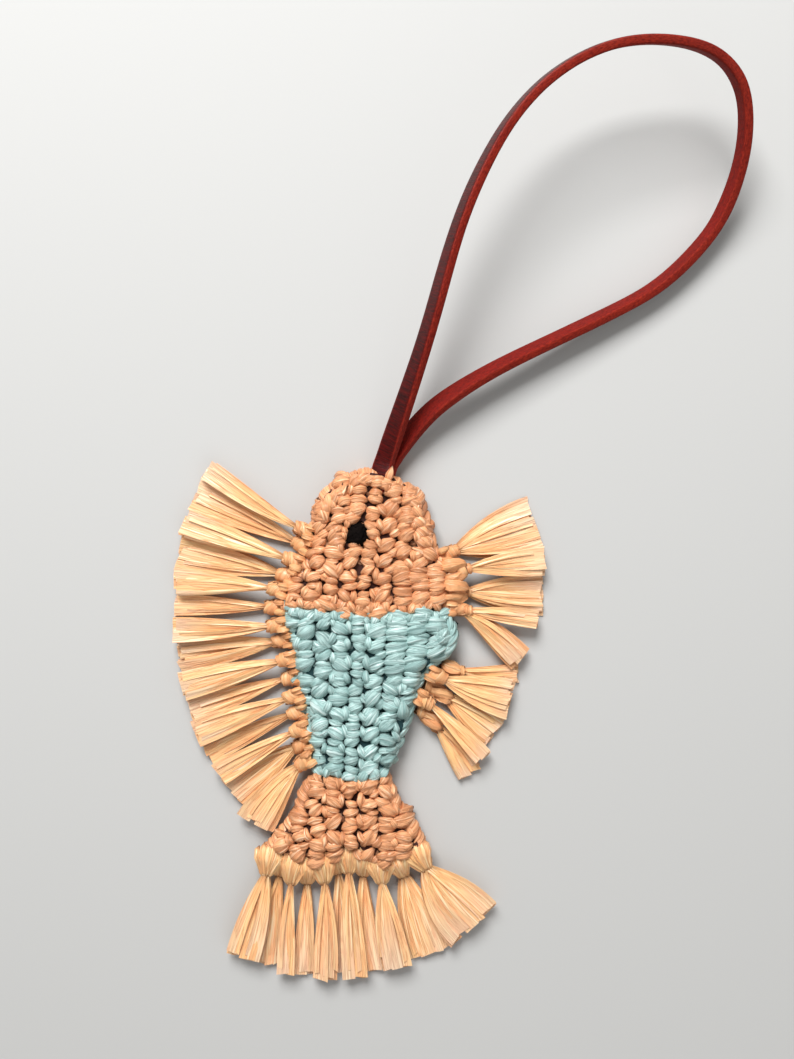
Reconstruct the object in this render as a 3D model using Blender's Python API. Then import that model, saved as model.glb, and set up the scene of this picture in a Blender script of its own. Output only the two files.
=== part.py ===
"""Crocheted raffia fish charm, lying on its side, with a leather lace loop at its nose.

The fish lies in the XY plane with its nose towards +Y, and Z is the height above the table.
Three flat crocheted panels make the fish, raffia tassels are knotted along its edges,
and a yarn knot makes the eye. Lengths are in metres, written as a number times MM.
"""
import math

import bpy
import bmesh
from mathutils import Matrix, Vector

MM = 0.001

# Clearances between pieces
SEAM_GAP = 0.3 * MM             # between two panels, and between a tassel's knot and the edge
LAYER_GAP = 0.35 * MM           # between the lower and the upper layer of tassels
POCKET_GAP = 0.3 * MM           # around the eye and around the lace in the nose

# Crocheted fabric
FABRIC_THICKNESS = 9.0 * MM     # the doubled raffia fabric at its middle
EDGE_HEIGHT = 3.6 * MM          # where the rounded edge sticks out furthest
EDGE_ROUNDING = 4.5 * MM        # how far in from the edge the fabric reaches full height
UNDER_ROUNDING = 1.6 * MM       # how far the flat underside stays inside the outline
STITCH_DEPTH = 1.7 * MM         # from the top of a stitch down to the dip between stitches
RIDGE_SHARE = 0.35              # share of that depth that runs on down a column as a ridge
COLUMN_PITCH = 4.2 * MM         # from one column of stitches to the next
ROW_PITCH = 4.2 * MM            # from one row of stitches to the next
EDGE_WAVE = 0.5 * MM            # how far the dips between rows draw the outline in
CELLS_ACROSS = 27               # mesh cells from the left edge to the right edge
CELLS_PER_ROW = 3
END_FACING = 0.6                # a rim that faces further up or down the fish than this is an end
MERGE = 0.01 * MM               # points closer than this become one

# Outline of the fish, as seen from above: points of its left and right edges, from the nose down
NECK_LEFT, NECK_RIGHT = (-19.8, 29.2), (21.4, 28.0)       # the seam from head to body
WAIST_LEFT, WAIST_RIGHT = (-11.6, -11.6), (6.9, -11.8)    # the seam from body to tail
HEAD_LEFT = [(-4.6, 61.4), (-10.0, 57.3), (-12.7, 51.6), (-12.1, 46.2), (-14.9, 40.3), (-17.6, 34.4),
             NECK_LEFT]
HEAD_RIGHT = [(9.2, 60.4), (15.0, 56.9), (16.9, 51.0), (18.9, 44.0), (22.0, 36.4), NECK_RIGHT]
BODY_LEFT = [NECK_LEFT, (-18.3, 22.0), (-16.5, 14.5), (-14.8, 6.5), (-13.2, -2.5), WAIST_LEFT]
BODY_RIGHT = [NECK_RIGHT, (23.9, 22.6), (21.8, 16.9), (16.8, 12.2), (13.6, 5.6), (11.9, -1.5), WAIST_RIGHT]
TAIL_LEFT = [WAIST_LEFT, (-15.2, -15.8), (-17.4, -21.8), (-23.0, -29.0), (-23.8, -31.4), (-22.8, -33.6)]
TAIL_RIGHT = [WAIST_RIGHT, (9.8, -18.7), (13.9, -24.6), (16.0, -29.2), (15.7, -32.2)]
SPINE = [(4.4, 63.0), (2.0, 42.0), (-0.3, 26.0), (-1.0, 9.0), (-2.4, -10.0), (-2.3, -40.0)]
NOSE_BOW = 2.0 * MM             # how far the nose stands out beyond its two ends
NECK_BOW = -1.4 * MM            # the seam from head to body sags towards the tail
WAIST_BOW = -1.6 * MM
TAIL_LOBE = 3.0 * MM            # how far each lobe of the tail stands out beyond its notch
HEM_STEPS = 16                  # steps from one corner of the tail's hem to the other

# Eye
EYE_CENTRE = (-0.9, 46.2)
EYE_RADIUS = 2.7 * MM
EYE_POCKET_DEPTH = 4.0 * MM
EYE_STAND = 0.4 * MM            # how far the yarn stands proud of the fabric
EYE_SIDES = 14
EYE_BASE = 0.8                  # radius of the knot's base, as a share of its widest radius
EYE_BASE_HEIGHT = 0.8 * MM      # from the base up to the widest radius
EYE_DOME = 1.6 * MM             # height of the domed top
EYE_DOME_STEPS = 2

# Leather lace, with both ends stacked in a slot in the nose
LACE_WIDTH = 5.0 * MM
LACE_THICKNESS = 2.2 * MM
LACE_SPACING = 0.3 * MM         # between the two ends in the slot
LACE_STEPS = 2                  # points of the band between two points of its route
LACE_LEAD = 3.0 * MM            # how far the ends run straight on outside the nose
NOSE_SLOT_DEPTH = 6.0 * MM
NOSE_TILT = 64.0                # degrees that the lace's face is turned up, in the nose
SLOT_MOUTH = (5.6, 62.0, 4.25)  # the middle of the two stacked ends, where they enter the nose
SLOT_HEADING = 17.0             # degrees from +Y towards +X in which the ends leave the nose

# The lace's route between its ends: x, y and height of its middle, and degrees of turn
# of its smooth face: 0 faces outwards from the loop, 90 faces up, below 0 faces down.
LACE_ROUTE = [
    (8.8, 73.1, 8.5, 52), (15.9, 93.6, 15.0, 36), (21.3, 112.9, 19.0, 29), (26.2, 126.0, 21.5, 26),
    (32.9, 138.6, 22.8, 23), (39.7, 147.0, 23.2, 21), (46.0, 152.3, 23.2, 21), (52.4, 156.0, 23.2, 21),
    (59.3, 158.5, 23.0, 22), (67.6, 159.7, 22.3, 22), (77.4, 159.2, 20.8, 20), (84.8, 156.3, 19.0, 15),
    (89.7, 150.6, 16.5, 5), (91.6, 142.9, 13.0, -5), (91.4, 135.1, 9.3, -13),
    (89.3, 127.0, 5.8, -19), (84.9, 119.0, 3.6, -23), (74.0, 108.1, 3.1, -26),
    (61.9, 101.3, 3.6, -29), (47.2, 94.1, 4.8, -32), (33.0, 87.1, 6.0, -36),
    (22.3, 80.6, 6.2, -44), (15.0, 74.7, 5.3, -54),
]

# Tassels, in the order that they are knotted along each edge, from the nose side to the tail
KNOT_WIDTH = 3.0 * MM
KNOT_LENGTH = 3.4 * MM
KNOT_HEIGHT = 4.0 * MM
KNOT_START = 0.75               # the knot's width at the fabric's edge, as a share of its full width
KNOT_ROUNDING = 0.6 * MM        # how far its top and its underside are drawn in there
KNOT_MIDDLE = 0.45              # where along its length the knot is widest, as a share
NECK_WIDTH = 2.3 * MM           # where the strands leave the knot
NECK_HEIGHT = 2.5 * MM
NECK_PLEAT = 0.3                # depth of the pleats in the neck, as a share of the fan's
FAN_HEIGHT = 2.4 * MM           # the fan of strands, halfway along
TIP_HEIGHT = 1.9 * MM
FAN_MIDDLE = 0.5                # where along the tassel the fan is measured, as a share
FAN_OPENING = 0.65              # how far it has opened there, from neck to full width
LEAST_FAN = 4.6 * MM            # the narrowest fan, at its tip
PLEATS = 3
PLEAT_DEPTH = 0.45 * MM
FLAT_BASE = 0.8                 # a tassel's flat underside, as a share of its width
SIDE_HEIGHT = 0.5               # its height at its sides, as a share of its height in the middle
FAN_BEND = 6.0 * MM             # how far a tassel runs straight out before it turns to its tip
BUNCH_START = 0.8               # a second bunch's root in the knot, as a share of the neck's width
BUNCH_LIFT = 0.1 * MM           # how far a second bunch lies above the first
LOWER, UPPER = 0, 1             # the two layers that the tassels lie in
KNOT_LIFT = (0.5 * MM, 2.0 * MM)
FAN_LIFT = (0.0, FAN_HEIGHT + LAYER_GAP)
TIP_LIFT = (0.0, TIP_HEIGHT + LAYER_GAP)
FAN_FILL = (1.08, 0.89)         # a fan's width as a share of its place; lower fans run under

# Each fringe: where its knots sit, as millimetres along the edge from the edge's first point, the
# line that its tips follow, and each tassel's width along that line. Where a width is three
# numbers, the strands part from one knot in two bunches, with a gap of the middle one.
BACK_FIN = {
    "name": "back_fin", "side": -1, "first_layer": UPPER,
    "knots": (17.9, 22.0, 26.3, 30.4, 34.2, 38.1, 42.3, 46.4, 50.9, 55.6, 60.1, 64.3, 68.3, 72.1, 75.9),
    "tips": [(-36.8, 65.2), (-44.2, 50.0), (-46.8, 29.0), (-45.0, 10.0), (-38.4, -9.0), (-23.4, -29.2)],
    "widths": (6, 8, 7, 8, 7, 5, 7, 7, 8, 5, 6, 6, 5, 8, 10),
}
FRONT_FIN = {
    "name": "front_fin", "side": 1, "first_layer": LOWER,
    "knots": (23.5, 27.7, 32.5, 36.8),
    "tips": [(41.3, 54.2), (45.3, 42.5), (44.7, 28.5), (38.4, 12.6)],
    "widths": (11.2, 7.6, 8.6, (4.5, 5.0, 6.4)),
}
REAR_FIN = {
    "name": "rear_fin", "side": 1, "first_layer": LOWER,
    "knots": (52.2, 55.6, 59.0, 62.4, 65.8),
    "tips": [(39.6, 13.2), (36.0, 2.9), (32.0, -6.4), (25.7, -15.9)],
    "widths": (3.2, 10.0, 8.3, 5.2, 5.7),
}
TAIL_FIN = {
    "name": "tail_fin", "side": -1, "first_layer": UPPER,
    "knots": (0.0, 3.3, 6.6, 9.9, 13.6, 17.2, 20.8, 24.9, 29.2, 33.6, 39.2),
    "tips": [(-33.4, -56.6), (-19.0, -62.4), (-2.0, -63.6), (15.0, -58.8), (24.5, -53.6), (33.6, -43.8)],
    "widths": (8.6, 4.8, 4.1, 4.6, 6.3, 2.8, 3.2, 5.3, 7.7, 9.8, 16.5),
}

# Colours: red, green, blue of each material's finish
TAN_RAFFIA = (0.66, 0.33, 0.16)
AQUA_RAFFIA = (0.31, 0.58, 0.58)
PEACH_RAFFIA = (0.90, 0.58, 0.30)
BLACK_YARN = (0.015, 0.010, 0.008)
RED_LEATHER = (0.20, 0.008, 0.004)


def clear_scene():
    for thing in list(bpy.data.objects):
        bpy.data.objects.remove(thing, do_unlink=True)


def in_mm(point):
    """A point of an outline in millimetres, as a vector in metres on the table."""
    return Vector((point[0] * MM, point[1] * MM, 0.0))


class Curve:
    """A smooth curve through points, read by the distance along it."""

    SAMPLES = 16                # between two of its points

    def __init__(self, points):
        ends = [2 * points[0] - points[1]], [2 * points[-1] - points[-2]]
        knots = ends[0] + list(points) + ends[1]
        self.points = []
        for i in range(1, len(knots) - 2):
            for step in range(self.SAMPLES):
                self.points.append(between(knots[i - 1:i + 3], step / self.SAMPLES))
        self.points.append(points[-1].copy())
        self.reached = [0.0]
        for a, b in zip(self.points, self.points[1:]):
            self.reached.append(self.reached[-1] + (b - a).length)
        self.length = self.reached[-1]

    def at(self, distance):
        distance = min(max(distance, 0.0), self.length)
        last = len(self.points) - 2
        i = next((k for k in range(last + 1) if self.reached[k + 1] >= distance), last)
        share = (distance - self.reached[i]) / (self.reached[i + 1] - self.reached[i])
        return self.points[i].lerp(self.points[i + 1], share)

    def heading(self, distance):
        reach = 0.5 * MM
        return (self.at(distance + reach) - self.at(distance - reach)).normalized()

    def x_at(self, y):
        """Where a curve that runs down the fish crosses the height y."""
        nearest = min(self.points, key=lambda point: abs(point.y - y))
        return nearest.x


def between(four, t):
    """The Catmull-Rom point at share t between the two middle ones of four points."""
    a, b, c, d = four
    return 0.5 * (2 * b + (c - a) * t + (2 * a - 5 * b + 4 * c - d) * t ** 2
                  + (3 * b - a - 3 * c + d) * t ** 3)


def outline(points):
    return Curve([in_mm(point) for point in points])


def material(name, colour, roughness):
    finish = bpy.data.materials.new(name)
    finish.use_nodes = True
    shader = finish.node_tree.nodes["Principled BSDF"]
    shader.inputs["Base Color"].default_value = (*colour, 1.0)
    shader.inputs["Roughness"].default_value = roughness
    shader.inputs["Metallic"].default_value = 0.0
    finish.diffuse_color = (*colour, 1.0)
    return finish


def new_object(name, mesh_or_curve, finish):
    thing = bpy.data.objects.new(name, mesh_or_curve)
    thing.data.materials.append(finish)
    bpy.context.scene.collection.objects.link(thing)
    return thing


def mesh_object(name, bm, finish):
    """Turn a bmesh into an object with its faces pointing out."""
    bmesh.ops.recalc_face_normals(bm, faces=bm.faces)
    mesh = bpy.data.meshes.new(name)
    bm.to_mesh(mesh)
    bm.free()
    return new_object(name, mesh, finish)


def stitch_relief(x, y, spine):
    """0 in the dip between stitches and 1 on a stitch's top; every other column is shifted."""
    across = (x - spine.x_at(y)) / COLUMN_PITCH
    column = round(across)
    along = y / ROW_PITCH + 0.5 * (column % 2)
    side = math.cos(math.pi * (across - column)) ** 2
    crest = math.cos(math.pi * (along - round(along))) ** 2
    return side * (RIDGE_SHARE + (1 - RIDGE_SHARE) * crest)


def side_wave(y):
    """How far the outline is drawn in at this height, in the dips between the edge's rows."""
    return EDGE_WAVE * math.sin(math.pi * y / ROW_PITCH) ** 2


def crown(distance):
    """Height of the fabric at a distance from its free edge."""
    inside = min(distance / EDGE_ROUNDING, 1.0)
    return EDGE_HEIGHT + (FABRIC_THICKNESS - EDGE_HEIGHT) * math.sqrt(1 - (1 - inside) ** 2)


def arc_line(bow):
    return lambda u: bow * (1 - (2 * u - 1) ** 2)


def lobe_line(lobe):
    return lambda u: -lobe * math.sin(2 * math.pi * u) ** 2


def crocheted_panel(name, left, right, top_line, bottom_line, free_top, free_bottom, finish):
    """A crocheted panel between two edge curves: stitched on top and flat underneath.

    top_line and bottom_line give how far each end of the panel stands out, at a share u
    of the width. A free end is rounded down as the sides are; the others meet a seam.
    """
    spine = outline(SPINE)
    length = (left.length + right.length) / 2
    rows = round(length / ROW_PITCH) * CELLS_PER_ROW
    bm = bmesh.new()
    bmesh.ops.create_grid(bm, x_segments=CELLS_ACROSS, y_segments=rows, size=0.5)
    for vert in bm.verts:
        u, v = vert.co.x + 0.5, 0.5 - vert.co.y
        a, b = left.at(v * left.length), right.at(v * right.length)
        inward = (b - a).normalized() * side_wave((a.y + b.y) / 2)
        flat = (a + inward).lerp(b - inward, u)
        flat.y += (1 - v) * top_line(u) + v * bottom_line(u)
        edge = min(u, 1 - u) * (b - a).length
        if free_top:
            edge = min(edge, v * length)
        if free_bottom:
            edge = min(edge, (1 - v) * length)
        dip = (1 - stitch_relief(flat.x, flat.y, spine)) * min(edge / EDGE_ROUNDING * 2, 1.0)
        vert.co = (flat.x, flat.y, crown(edge) - STITCH_DEPTH * dip)
    close_underside(bm, free_top, free_bottom)
    return mesh_object(name, bm, finish)


def close_underside(bm, free_top, free_bottom):
    """Fold the grid's rim down to the table, a little inside the outline, and close it flat."""
    rim = [edge for edge in bm.edges if edge.is_boundary]
    sides = {vert: rim_normal(vert) for edge in rim for vert in edge.verts}
    made = bmesh.ops.extrude_edge_only(bm, edges=rim)["geom"]
    lower = [item for item in made if isinstance(item, bmesh.types.BMVert)]
    upper_of = {}
    for vert in lower:
        for edge in vert.link_edges:
            other = edge.other_vert(vert)
            if other in sides:
                upper_of[vert] = other
    for vert, above in upper_of.items():
        out = sides[above]
        top_seam = out.y > END_FACING and not free_top
        bottom_seam = out.y < -END_FACING and not free_bottom
        inset = 0.0 if top_seam or bottom_seam else UNDER_ROUNDING
        vert.co = above.co - out * inset
        vert.co.z = 0.0
    floor_rim = [edge for edge in bm.edges if edge.is_boundary]
    bmesh.ops.contextual_create(bm, geom=floor_rim)


def rim_normal(vert):
    """The outward direction on the table of a vertex on the grid's rim."""
    rim = [edge.other_vert(vert).co for edge in vert.link_edges if edge.is_boundary]
    inner = [edge.other_vert(vert).co for edge in vert.link_edges if not edge.is_boundary]
    along = rim[0] - rim[1]
    out = Vector((along.y, -along.x, 0.0)).normalized()
    inward = (inner[0] if inner else (rim[0] + rim[1]) / 2) - vert.co
    return -out if out.dot(inward) > 0 else out


def combine(thing, helper, operation):
    """Cut a hidden helper out of a piece, or join it on."""
    helper.hide_render = True
    helper.display_type = "WIRE"
    step = thing.modifiers.new(helper.name, "BOOLEAN")
    step.operation = operation
    step.solver = "EXACT"
    step.object = helper


def eye_height():
    return FABRIC_THICKNESS + EYE_STAND


def eye_floor():
    return FABRIC_THICKNESS - EYE_POCKET_DEPTH


def eye_pocket(finish):
    """The round gap in the stitches that the eye's knot fills."""
    bm = bmesh.new()
    depth = EYE_POCKET_DEPTH + FABRIC_THICKNESS
    radius = EYE_RADIUS + POCKET_GAP
    bmesh.ops.create_cone(
        bm, cap_ends=True, segments=EYE_SIDES, radius1=radius, radius2=radius, depth=depth)
    pocket = mesh_object("eye_pocket", bm, finish)
    pocket.location = in_mm(EYE_CENTRE) + Vector((0, 0, eye_floor() + depth / 2))
    return pocket


def eye(finish):
    """A knot of yarn: a low round button with a domed top."""
    bm = bmesh.new()
    low = eye_floor() + POCKET_GAP
    profile = [(0.0, low), (EYE_BASE, low), (1.0, low + EYE_BASE_HEIGHT)]
    for step in range(EYE_DOME_STEPS + 1):
        turn = math.radians(90) * step / EYE_DOME_STEPS
        profile.append((math.cos(turn), eye_height() - EYE_DOME * (1 - math.sin(turn))))
    verts = [bm.verts.new((share * EYE_RADIUS, 0, z)) for share, z in profile]
    edges = [bm.edges.new(pair) for pair in zip(verts, verts[1:])]
    bmesh.ops.spin(bm, geom=verts + edges, axis=(0, 0, 1), cent=(0, 0, 0), dvec=(0, 0, 0),
                   angle=math.tau, steps=EYE_SIDES, use_merge=True)
    bmesh.ops.remove_doubles(bm, verts=bm.verts, dist=MERGE)
    knot = mesh_object("eye", bm, finish)
    knot.location = in_mm(EYE_CENTRE)
    return knot


def slot_heading():
    turn = math.radians(SLOT_HEADING)
    return Vector((math.sin(turn), math.cos(turn), 0.0))


def face_normal(heading, turn):
    """The way that the lace's smooth face looks, where it runs along heading."""
    outward = Vector((-heading.y, heading.x, 0.0)).normalized()
    tilt = math.radians(turn)
    return outward * math.cos(tilt) + Vector((0, 0, 1)) * math.sin(tilt)


def stacked_ends():
    """How far each end of the lace lies from the middle of the stack."""
    return face_normal(slot_heading(), NOSE_TILT) * (LACE_THICKNESS + LACE_SPACING) / 2


def nose_slot(finish):
    """The slot between the two layers of the nose that holds both ends of the lace."""
    ahead = slot_heading()
    face = face_normal(ahead, NOSE_TILT)
    across = ahead.cross(face)
    wide = LACE_WIDTH + 2 * POCKET_GAP
    thick = 2 * LACE_THICKNESS + LACE_SPACING + 2 * POCKET_GAP
    long = 2 * NOSE_SLOT_DEPTH
    bm = bmesh.new()
    bmesh.ops.create_cube(bm, size=1.0)
    bmesh.ops.scale(bm, vec=(wide, long, thick), verts=bm.verts)
    slot = mesh_object("nose_slot", bm, finish)
    turned = Matrix((across, ahead, face)).transposed().to_4x4()
    slot.matrix_world = Matrix.Translation(slot_mouth()) @ turned
    return slot


def slot_mouth():
    return Vector([value * MM for value in SLOT_MOUTH])


def lace_points():
    """The lace's middle line: (position, degrees of turn) at even shares between route points."""
    ahead = slot_heading()
    reaches = (POCKET_GAP - NOSE_SLOT_DEPTH, 0.0, LACE_LEAD)
    top = [slot_mouth() + stacked_ends() + ahead * reach for reach in reaches]
    low = [slot_mouth() - stacked_ends() + ahead * reach for reach in reversed(reaches)]
    route = [Vector((*point, NOSE_TILT)) for point in top]
    for x, y, z, turn in LACE_ROUTE:
        route.append(Vector((x * MM, y * MM, z * MM, turn)))
    route += [Vector((*point, -NOSE_TILT)) for point in low]
    route = [2 * route[0] - route[1]] + route + [2 * route[-1] - route[-2]]
    points = []
    for i in range(1, len(route) - 2):
        for step in range(LACE_STEPS):
            points.append(between(route[i - 1:i + 3], step / LACE_STEPS))
    points.append(route[-2])
    return [(point.xyz, point.w) for point in points]


def hanging_lace(finish):
    """The leather lace: a flat band that loops out of the nose and back, standing on its edge."""
    points = lace_points()
    band = bpy.data.curves.new("hanging_lace", "CURVE")
    band.dimensions = "3D"
    band.twist_mode = "Z_UP"
    band.extrude = (LACE_WIDTH - LACE_THICKNESS) / 2
    band.bevel_depth = LACE_THICKNESS / 2
    band.bevel_resolution = 2
    band.use_fill_caps = True
    line = band.splines.new("POLY")
    line.points.add(len(points) - 1)
    for spot, (position, turn) in zip(line.points, points):
        spot.co = (*position, 1.0)
        spot.tilt = math.radians(turn)
    return new_object("hanging_lace", band, finish)


def tassel_section(middle, heading, width, low, height, pleat):
    """A cross-section of a tassel: flat below, and pleated across its top."""
    side = Vector((heading.y, -heading.x, 0.0))
    base = side * (FLAT_BASE * width / 2)
    ring = [middle + base + Vector((0, 0, low)), middle - base + Vector((0, 0, low))]
    for k in range(2 * PLEATS + 1):
        across = k / PLEATS - 1
        rounding = math.sqrt(1 - (1 - SIDE_HEIGHT ** 2) * across ** 2)
        top = low + height * rounding - pleat * (k % 2)
        ring.append(middle + side * (width / 2 * across) + Vector((0, 0, top)))
    return ring


def knot_stations(layer):
    """The knot at the root of a tassel: (distance, width, underside, height, pleat) along it."""
    low = KNOT_LIFT[layer]
    return [
        (0.0, KNOT_START * KNOT_WIDTH, low + KNOT_ROUNDING, KNOT_HEIGHT - 2 * KNOT_ROUNDING, 0.0),
        (KNOT_MIDDLE * KNOT_LENGTH, KNOT_WIDTH, low, KNOT_HEIGHT, 0.0),
    ]


def strand_stations(layer, run, fan_width):
    """The strands of a tassel, from the neck at its knot to their tips."""
    low = max(KNOT_LIFT[layer] + (KNOT_HEIGHT - NECK_HEIGHT) / 2, FAN_LIFT[layer])
    opening = NECK_WIDTH + (fan_width - NECK_WIDTH) * FAN_OPENING
    return [
        (KNOT_LENGTH, NECK_WIDTH, low, NECK_HEIGHT, NECK_PLEAT * PLEAT_DEPTH),
        (FAN_MIDDLE * run, opening, FAN_LIFT[layer], FAN_HEIGHT, PLEAT_DEPTH),
        (run, fan_width, TIP_LIFT[layer], TIP_HEIGHT, PLEAT_DEPTH),
    ]


def swept_along(edge_point, out, tip, stations):
    """A closed body through the given stations, straight out from the edge and round to the tip."""
    spread = edge_point + out * FAN_BEND
    run = (tip - edge_point).length
    bm = bmesh.new()
    root = face = None
    for reach, width, low, height, pleat in stations:
        t = reach / run
        middle = edge_point * (1 - t) ** 2 + spread * 2 * t * (1 - t) + tip * t ** 2
        heading = ((spread - edge_point) * (1 - t) + (tip - spread) * t).normalized()
        ring = tassel_section(middle, heading, width, low, height, pleat)
        if root is None:
            root = face = bm.faces.new([bm.verts.new(point) for point in ring])
            continue
        made = bmesh.ops.extrude_face_region(bm, geom=[face])["geom"]
        if face is not root:
            bmesh.ops.delete(bm, geom=[face], context="FACES_ONLY")
        face = next(item for item in made if isinstance(item, bmesh.types.BMFace))
        for vert, point in zip(face.verts, ring):
            vert.co = point
    return bm


def tassel(name, edge_point, out, bunches, layer, finish):
    """A lark's-head knot on the edge of the fabric, and its pleated strands in one or two bunches."""
    tip, fan_width = bunches[0]
    strands = strand_stations(layer, (tip - edge_point).length, fan_width)
    whole = mesh_object(name, swept_along(edge_point, out, tip, knot_stations(layer) + strands), finish)
    for tip, fan_width in bunches[1:]:
        strands = strand_stations(layer, (tip - edge_point).length, fan_width)
        neck = strands[0]
        root = (KNOT_MIDDLE * KNOT_LENGTH, BUNCH_START * NECK_WIDTH, *neck[2:])
        raised = [(reach, width, low + BUNCH_LIFT, height, pleat)
                  for reach, width, low, height, pleat in [root] + strands]
        second = mesh_object(name + "_bunch", swept_along(edge_point, out, tip, raised), finish)
        combine(whole, second, "UNION")
    return whole


def bunches_of(width):
    """Middle and width of each bunch of a tassel, along the line of the tips."""
    if not isinstance(width, tuple):
        return [(width / 2, width)]
    first, gap, second = width
    return [(first / 2, first), (first + gap + second / 2, second)]


def fringe(fin, edge, finish):
    """One tassel after another along an edge, their tips side by side along the fin's line."""
    tips = outline(fin["tips"])
    places = [sum(width) if isinstance(width, tuple) else width for width in fin["widths"]]
    scale = tips.length / sum(places)
    made, passed = [], 0.0
    for i, (distance, width, place) in enumerate(zip(fin["knots"], fin["widths"], places)):
        layer = (fin["first_layer"] + i) % 2
        spot, along = edge.at(distance * MM), edge.heading(distance * MM)
        normal = Vector((-along.y, along.x, 0.0)) * fin["side"]
        middle = tips.at((passed + place / 2) * scale)
        out = (normal + (middle - spot).normalized()).normalized()
        slant = math.sqrt(max(0.0, 1 - out.dot(normal) ** 2))
        start = spot + normal * (SEAM_GAP + KNOT_WIDTH / 2 * slant)
        bunches = [(tips.at((passed + at) * scale), max(wide * scale * FAN_FILL[layer], LEAST_FAN))
                   for at, wide in bunches_of(width)]
        name = f"{fin['name']}_tassel_{i + 1:02d}"
        made.append(tassel(name, start, out, bunches, layer, finish))
        passed += place
    return made


def tail_hem():
    """The tail's lower edge, with its two lobes, from left to right."""
    left, right = in_mm(TAIL_LEFT[-1]), in_mm(TAIL_RIGHT[-1])
    lobes = lobe_line(TAIL_LOBE)
    shares = [k / HEM_STEPS for k in range(HEM_STEPS + 1)]
    return Curve([left.lerp(right, u) + Vector((0, lobes(u), 0)) for u in shares])


def below_seam(edge):
    """An edge's points, with the first one a seam's gap further down the fish."""
    x, y = edge[0]
    return [(x, y - SEAM_GAP / MM)] + edge[1:]


def centre_on_origin(fish):
    """Shift everything so that the fish's own box is centred over the origin."""
    corners = [piece.matrix_basis @ vert.co for piece in fish for vert in piece.data.vertices]
    middle = [(min(c[i] for c in corners) + max(c[i] for c in corners)) / 2 for i in (0, 1)]
    holder = bpy.data.objects.new("table_spot", None)
    bpy.context.scene.collection.objects.link(holder)
    holder.location = (-middle[0], -middle[1], 0.0)
    for thing in list(bpy.data.objects):
        if thing is not holder:
            thing.parent = holder
    print("the fish is shifted by", [round(-value / MM, 3) for value in middle], "mm")


def main():
    clear_scene()
    tan = material("tan_raffia", TAN_RAFFIA, 0.55)
    aqua = material("aqua_raffia", AQUA_RAFFIA, 0.5)
    peach = material("peach_raffia", PEACH_RAFFIA, 0.4)
    yarn = material("black_yarn", BLACK_YARN, 0.95)
    leather = material("red_leather", RED_LEATHER, 0.5)

    head = crocheted_panel(
        "fish_head", outline(HEAD_LEFT), outline(HEAD_RIGHT),
        arc_line(NOSE_BOW), arc_line(NECK_BOW), True, False, tan)
    body = crocheted_panel(
        "fish_body", outline(below_seam(BODY_LEFT)), outline(below_seam(BODY_RIGHT)),
        arc_line(NECK_BOW), arc_line(WAIST_BOW), False, False, aqua)
    tail = crocheted_panel(
        "fish_tail", outline(below_seam(TAIL_LEFT)), outline(below_seam(TAIL_RIGHT)),
        arc_line(WAIST_BOW), lobe_line(TAIL_LOBE), False, True, tan)
    combine(head, eye_pocket(yarn), "DIFFERENCE")
    combine(head, nose_slot(leather), "DIFFERENCE")
    fish = [head, body, tail, eye(yarn)]

    back_edge = outline(HEAD_LEFT + BODY_LEFT[1:])
    belly_edge = outline(HEAD_RIGHT + BODY_RIGHT[1:])
    fish += fringe(BACK_FIN, back_edge, peach)
    fish += fringe(FRONT_FIN, belly_edge, peach)
    fish += fringe(REAR_FIN, belly_edge, peach)
    fish += fringe(TAIL_FIN, tail_hem(), peach)
    hanging_lace(leather)
    centre_on_origin(fish)


main()
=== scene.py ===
# %% [markdown]
# # A crocheted raffia fish charm
#
# The real fish is crocheted from paper raffia, a thin glossy ribbon that folds into plump strands
# when it is worked. It lies on its side, with raffia tassels knotted along its edges, a knot of
# black yarn for an eye and a loop of red leather lace at its nose. The solids in the frame give
# the outline, the thickness and the place of every piece. This script dresses them strand by
# strand, because a crocheted surface is made of strands and its look comes from how they cross.

# %% Load the frame
import math
import random

import bmesh
import bpy
import numpy as np
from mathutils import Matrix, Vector


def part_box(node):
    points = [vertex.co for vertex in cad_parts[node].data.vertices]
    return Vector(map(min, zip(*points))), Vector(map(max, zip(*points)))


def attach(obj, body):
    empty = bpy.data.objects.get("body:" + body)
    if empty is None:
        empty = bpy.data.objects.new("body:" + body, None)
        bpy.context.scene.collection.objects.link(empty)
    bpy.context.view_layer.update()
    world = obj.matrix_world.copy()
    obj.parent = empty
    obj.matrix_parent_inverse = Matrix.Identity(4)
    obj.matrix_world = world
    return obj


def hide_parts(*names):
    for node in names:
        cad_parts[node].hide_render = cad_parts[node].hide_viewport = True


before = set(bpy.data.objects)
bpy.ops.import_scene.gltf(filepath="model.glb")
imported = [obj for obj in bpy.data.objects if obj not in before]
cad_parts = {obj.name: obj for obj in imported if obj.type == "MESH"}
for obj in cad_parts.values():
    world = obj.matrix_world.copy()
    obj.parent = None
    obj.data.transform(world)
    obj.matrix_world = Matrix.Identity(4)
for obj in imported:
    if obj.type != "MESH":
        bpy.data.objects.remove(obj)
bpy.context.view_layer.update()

# %% [markdown]
# All places below are millimetres from the middle of the fish's own drawing, the same numbers
# that the solids are built from. The frame is shifted a little from that drawing, so the eye,
# whose centre is known in both, tells how far. Every mesh is made in millimetres and gets its
# final place in one step at the end.

# %% Units and the shift from the drawing to the frame
MM = 0.001
UP = np.array([0.0, 0.0, 1.0])
EYE_CENTRE = np.array([-0.9, 46.2, 0.0])
eye_low, eye_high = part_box("eye")
SHIFT = (np.array(eye_low) + np.array(eye_high)) / 2 - EYE_CENTRE * MM
SHIFT[2] = 0.0
print("shift in mm:", np.round(SHIFT / MM, 3))

# %% [markdown]
# Nothing made by hand is even. Every small difference below, such as the turn of a stitch or the
# length of a ribbon, comes from dice with a fixed seed, so each run makes the very same fish. One
# pair of dice gives single numbers, and the other gives a whole row of them at once.

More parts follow.
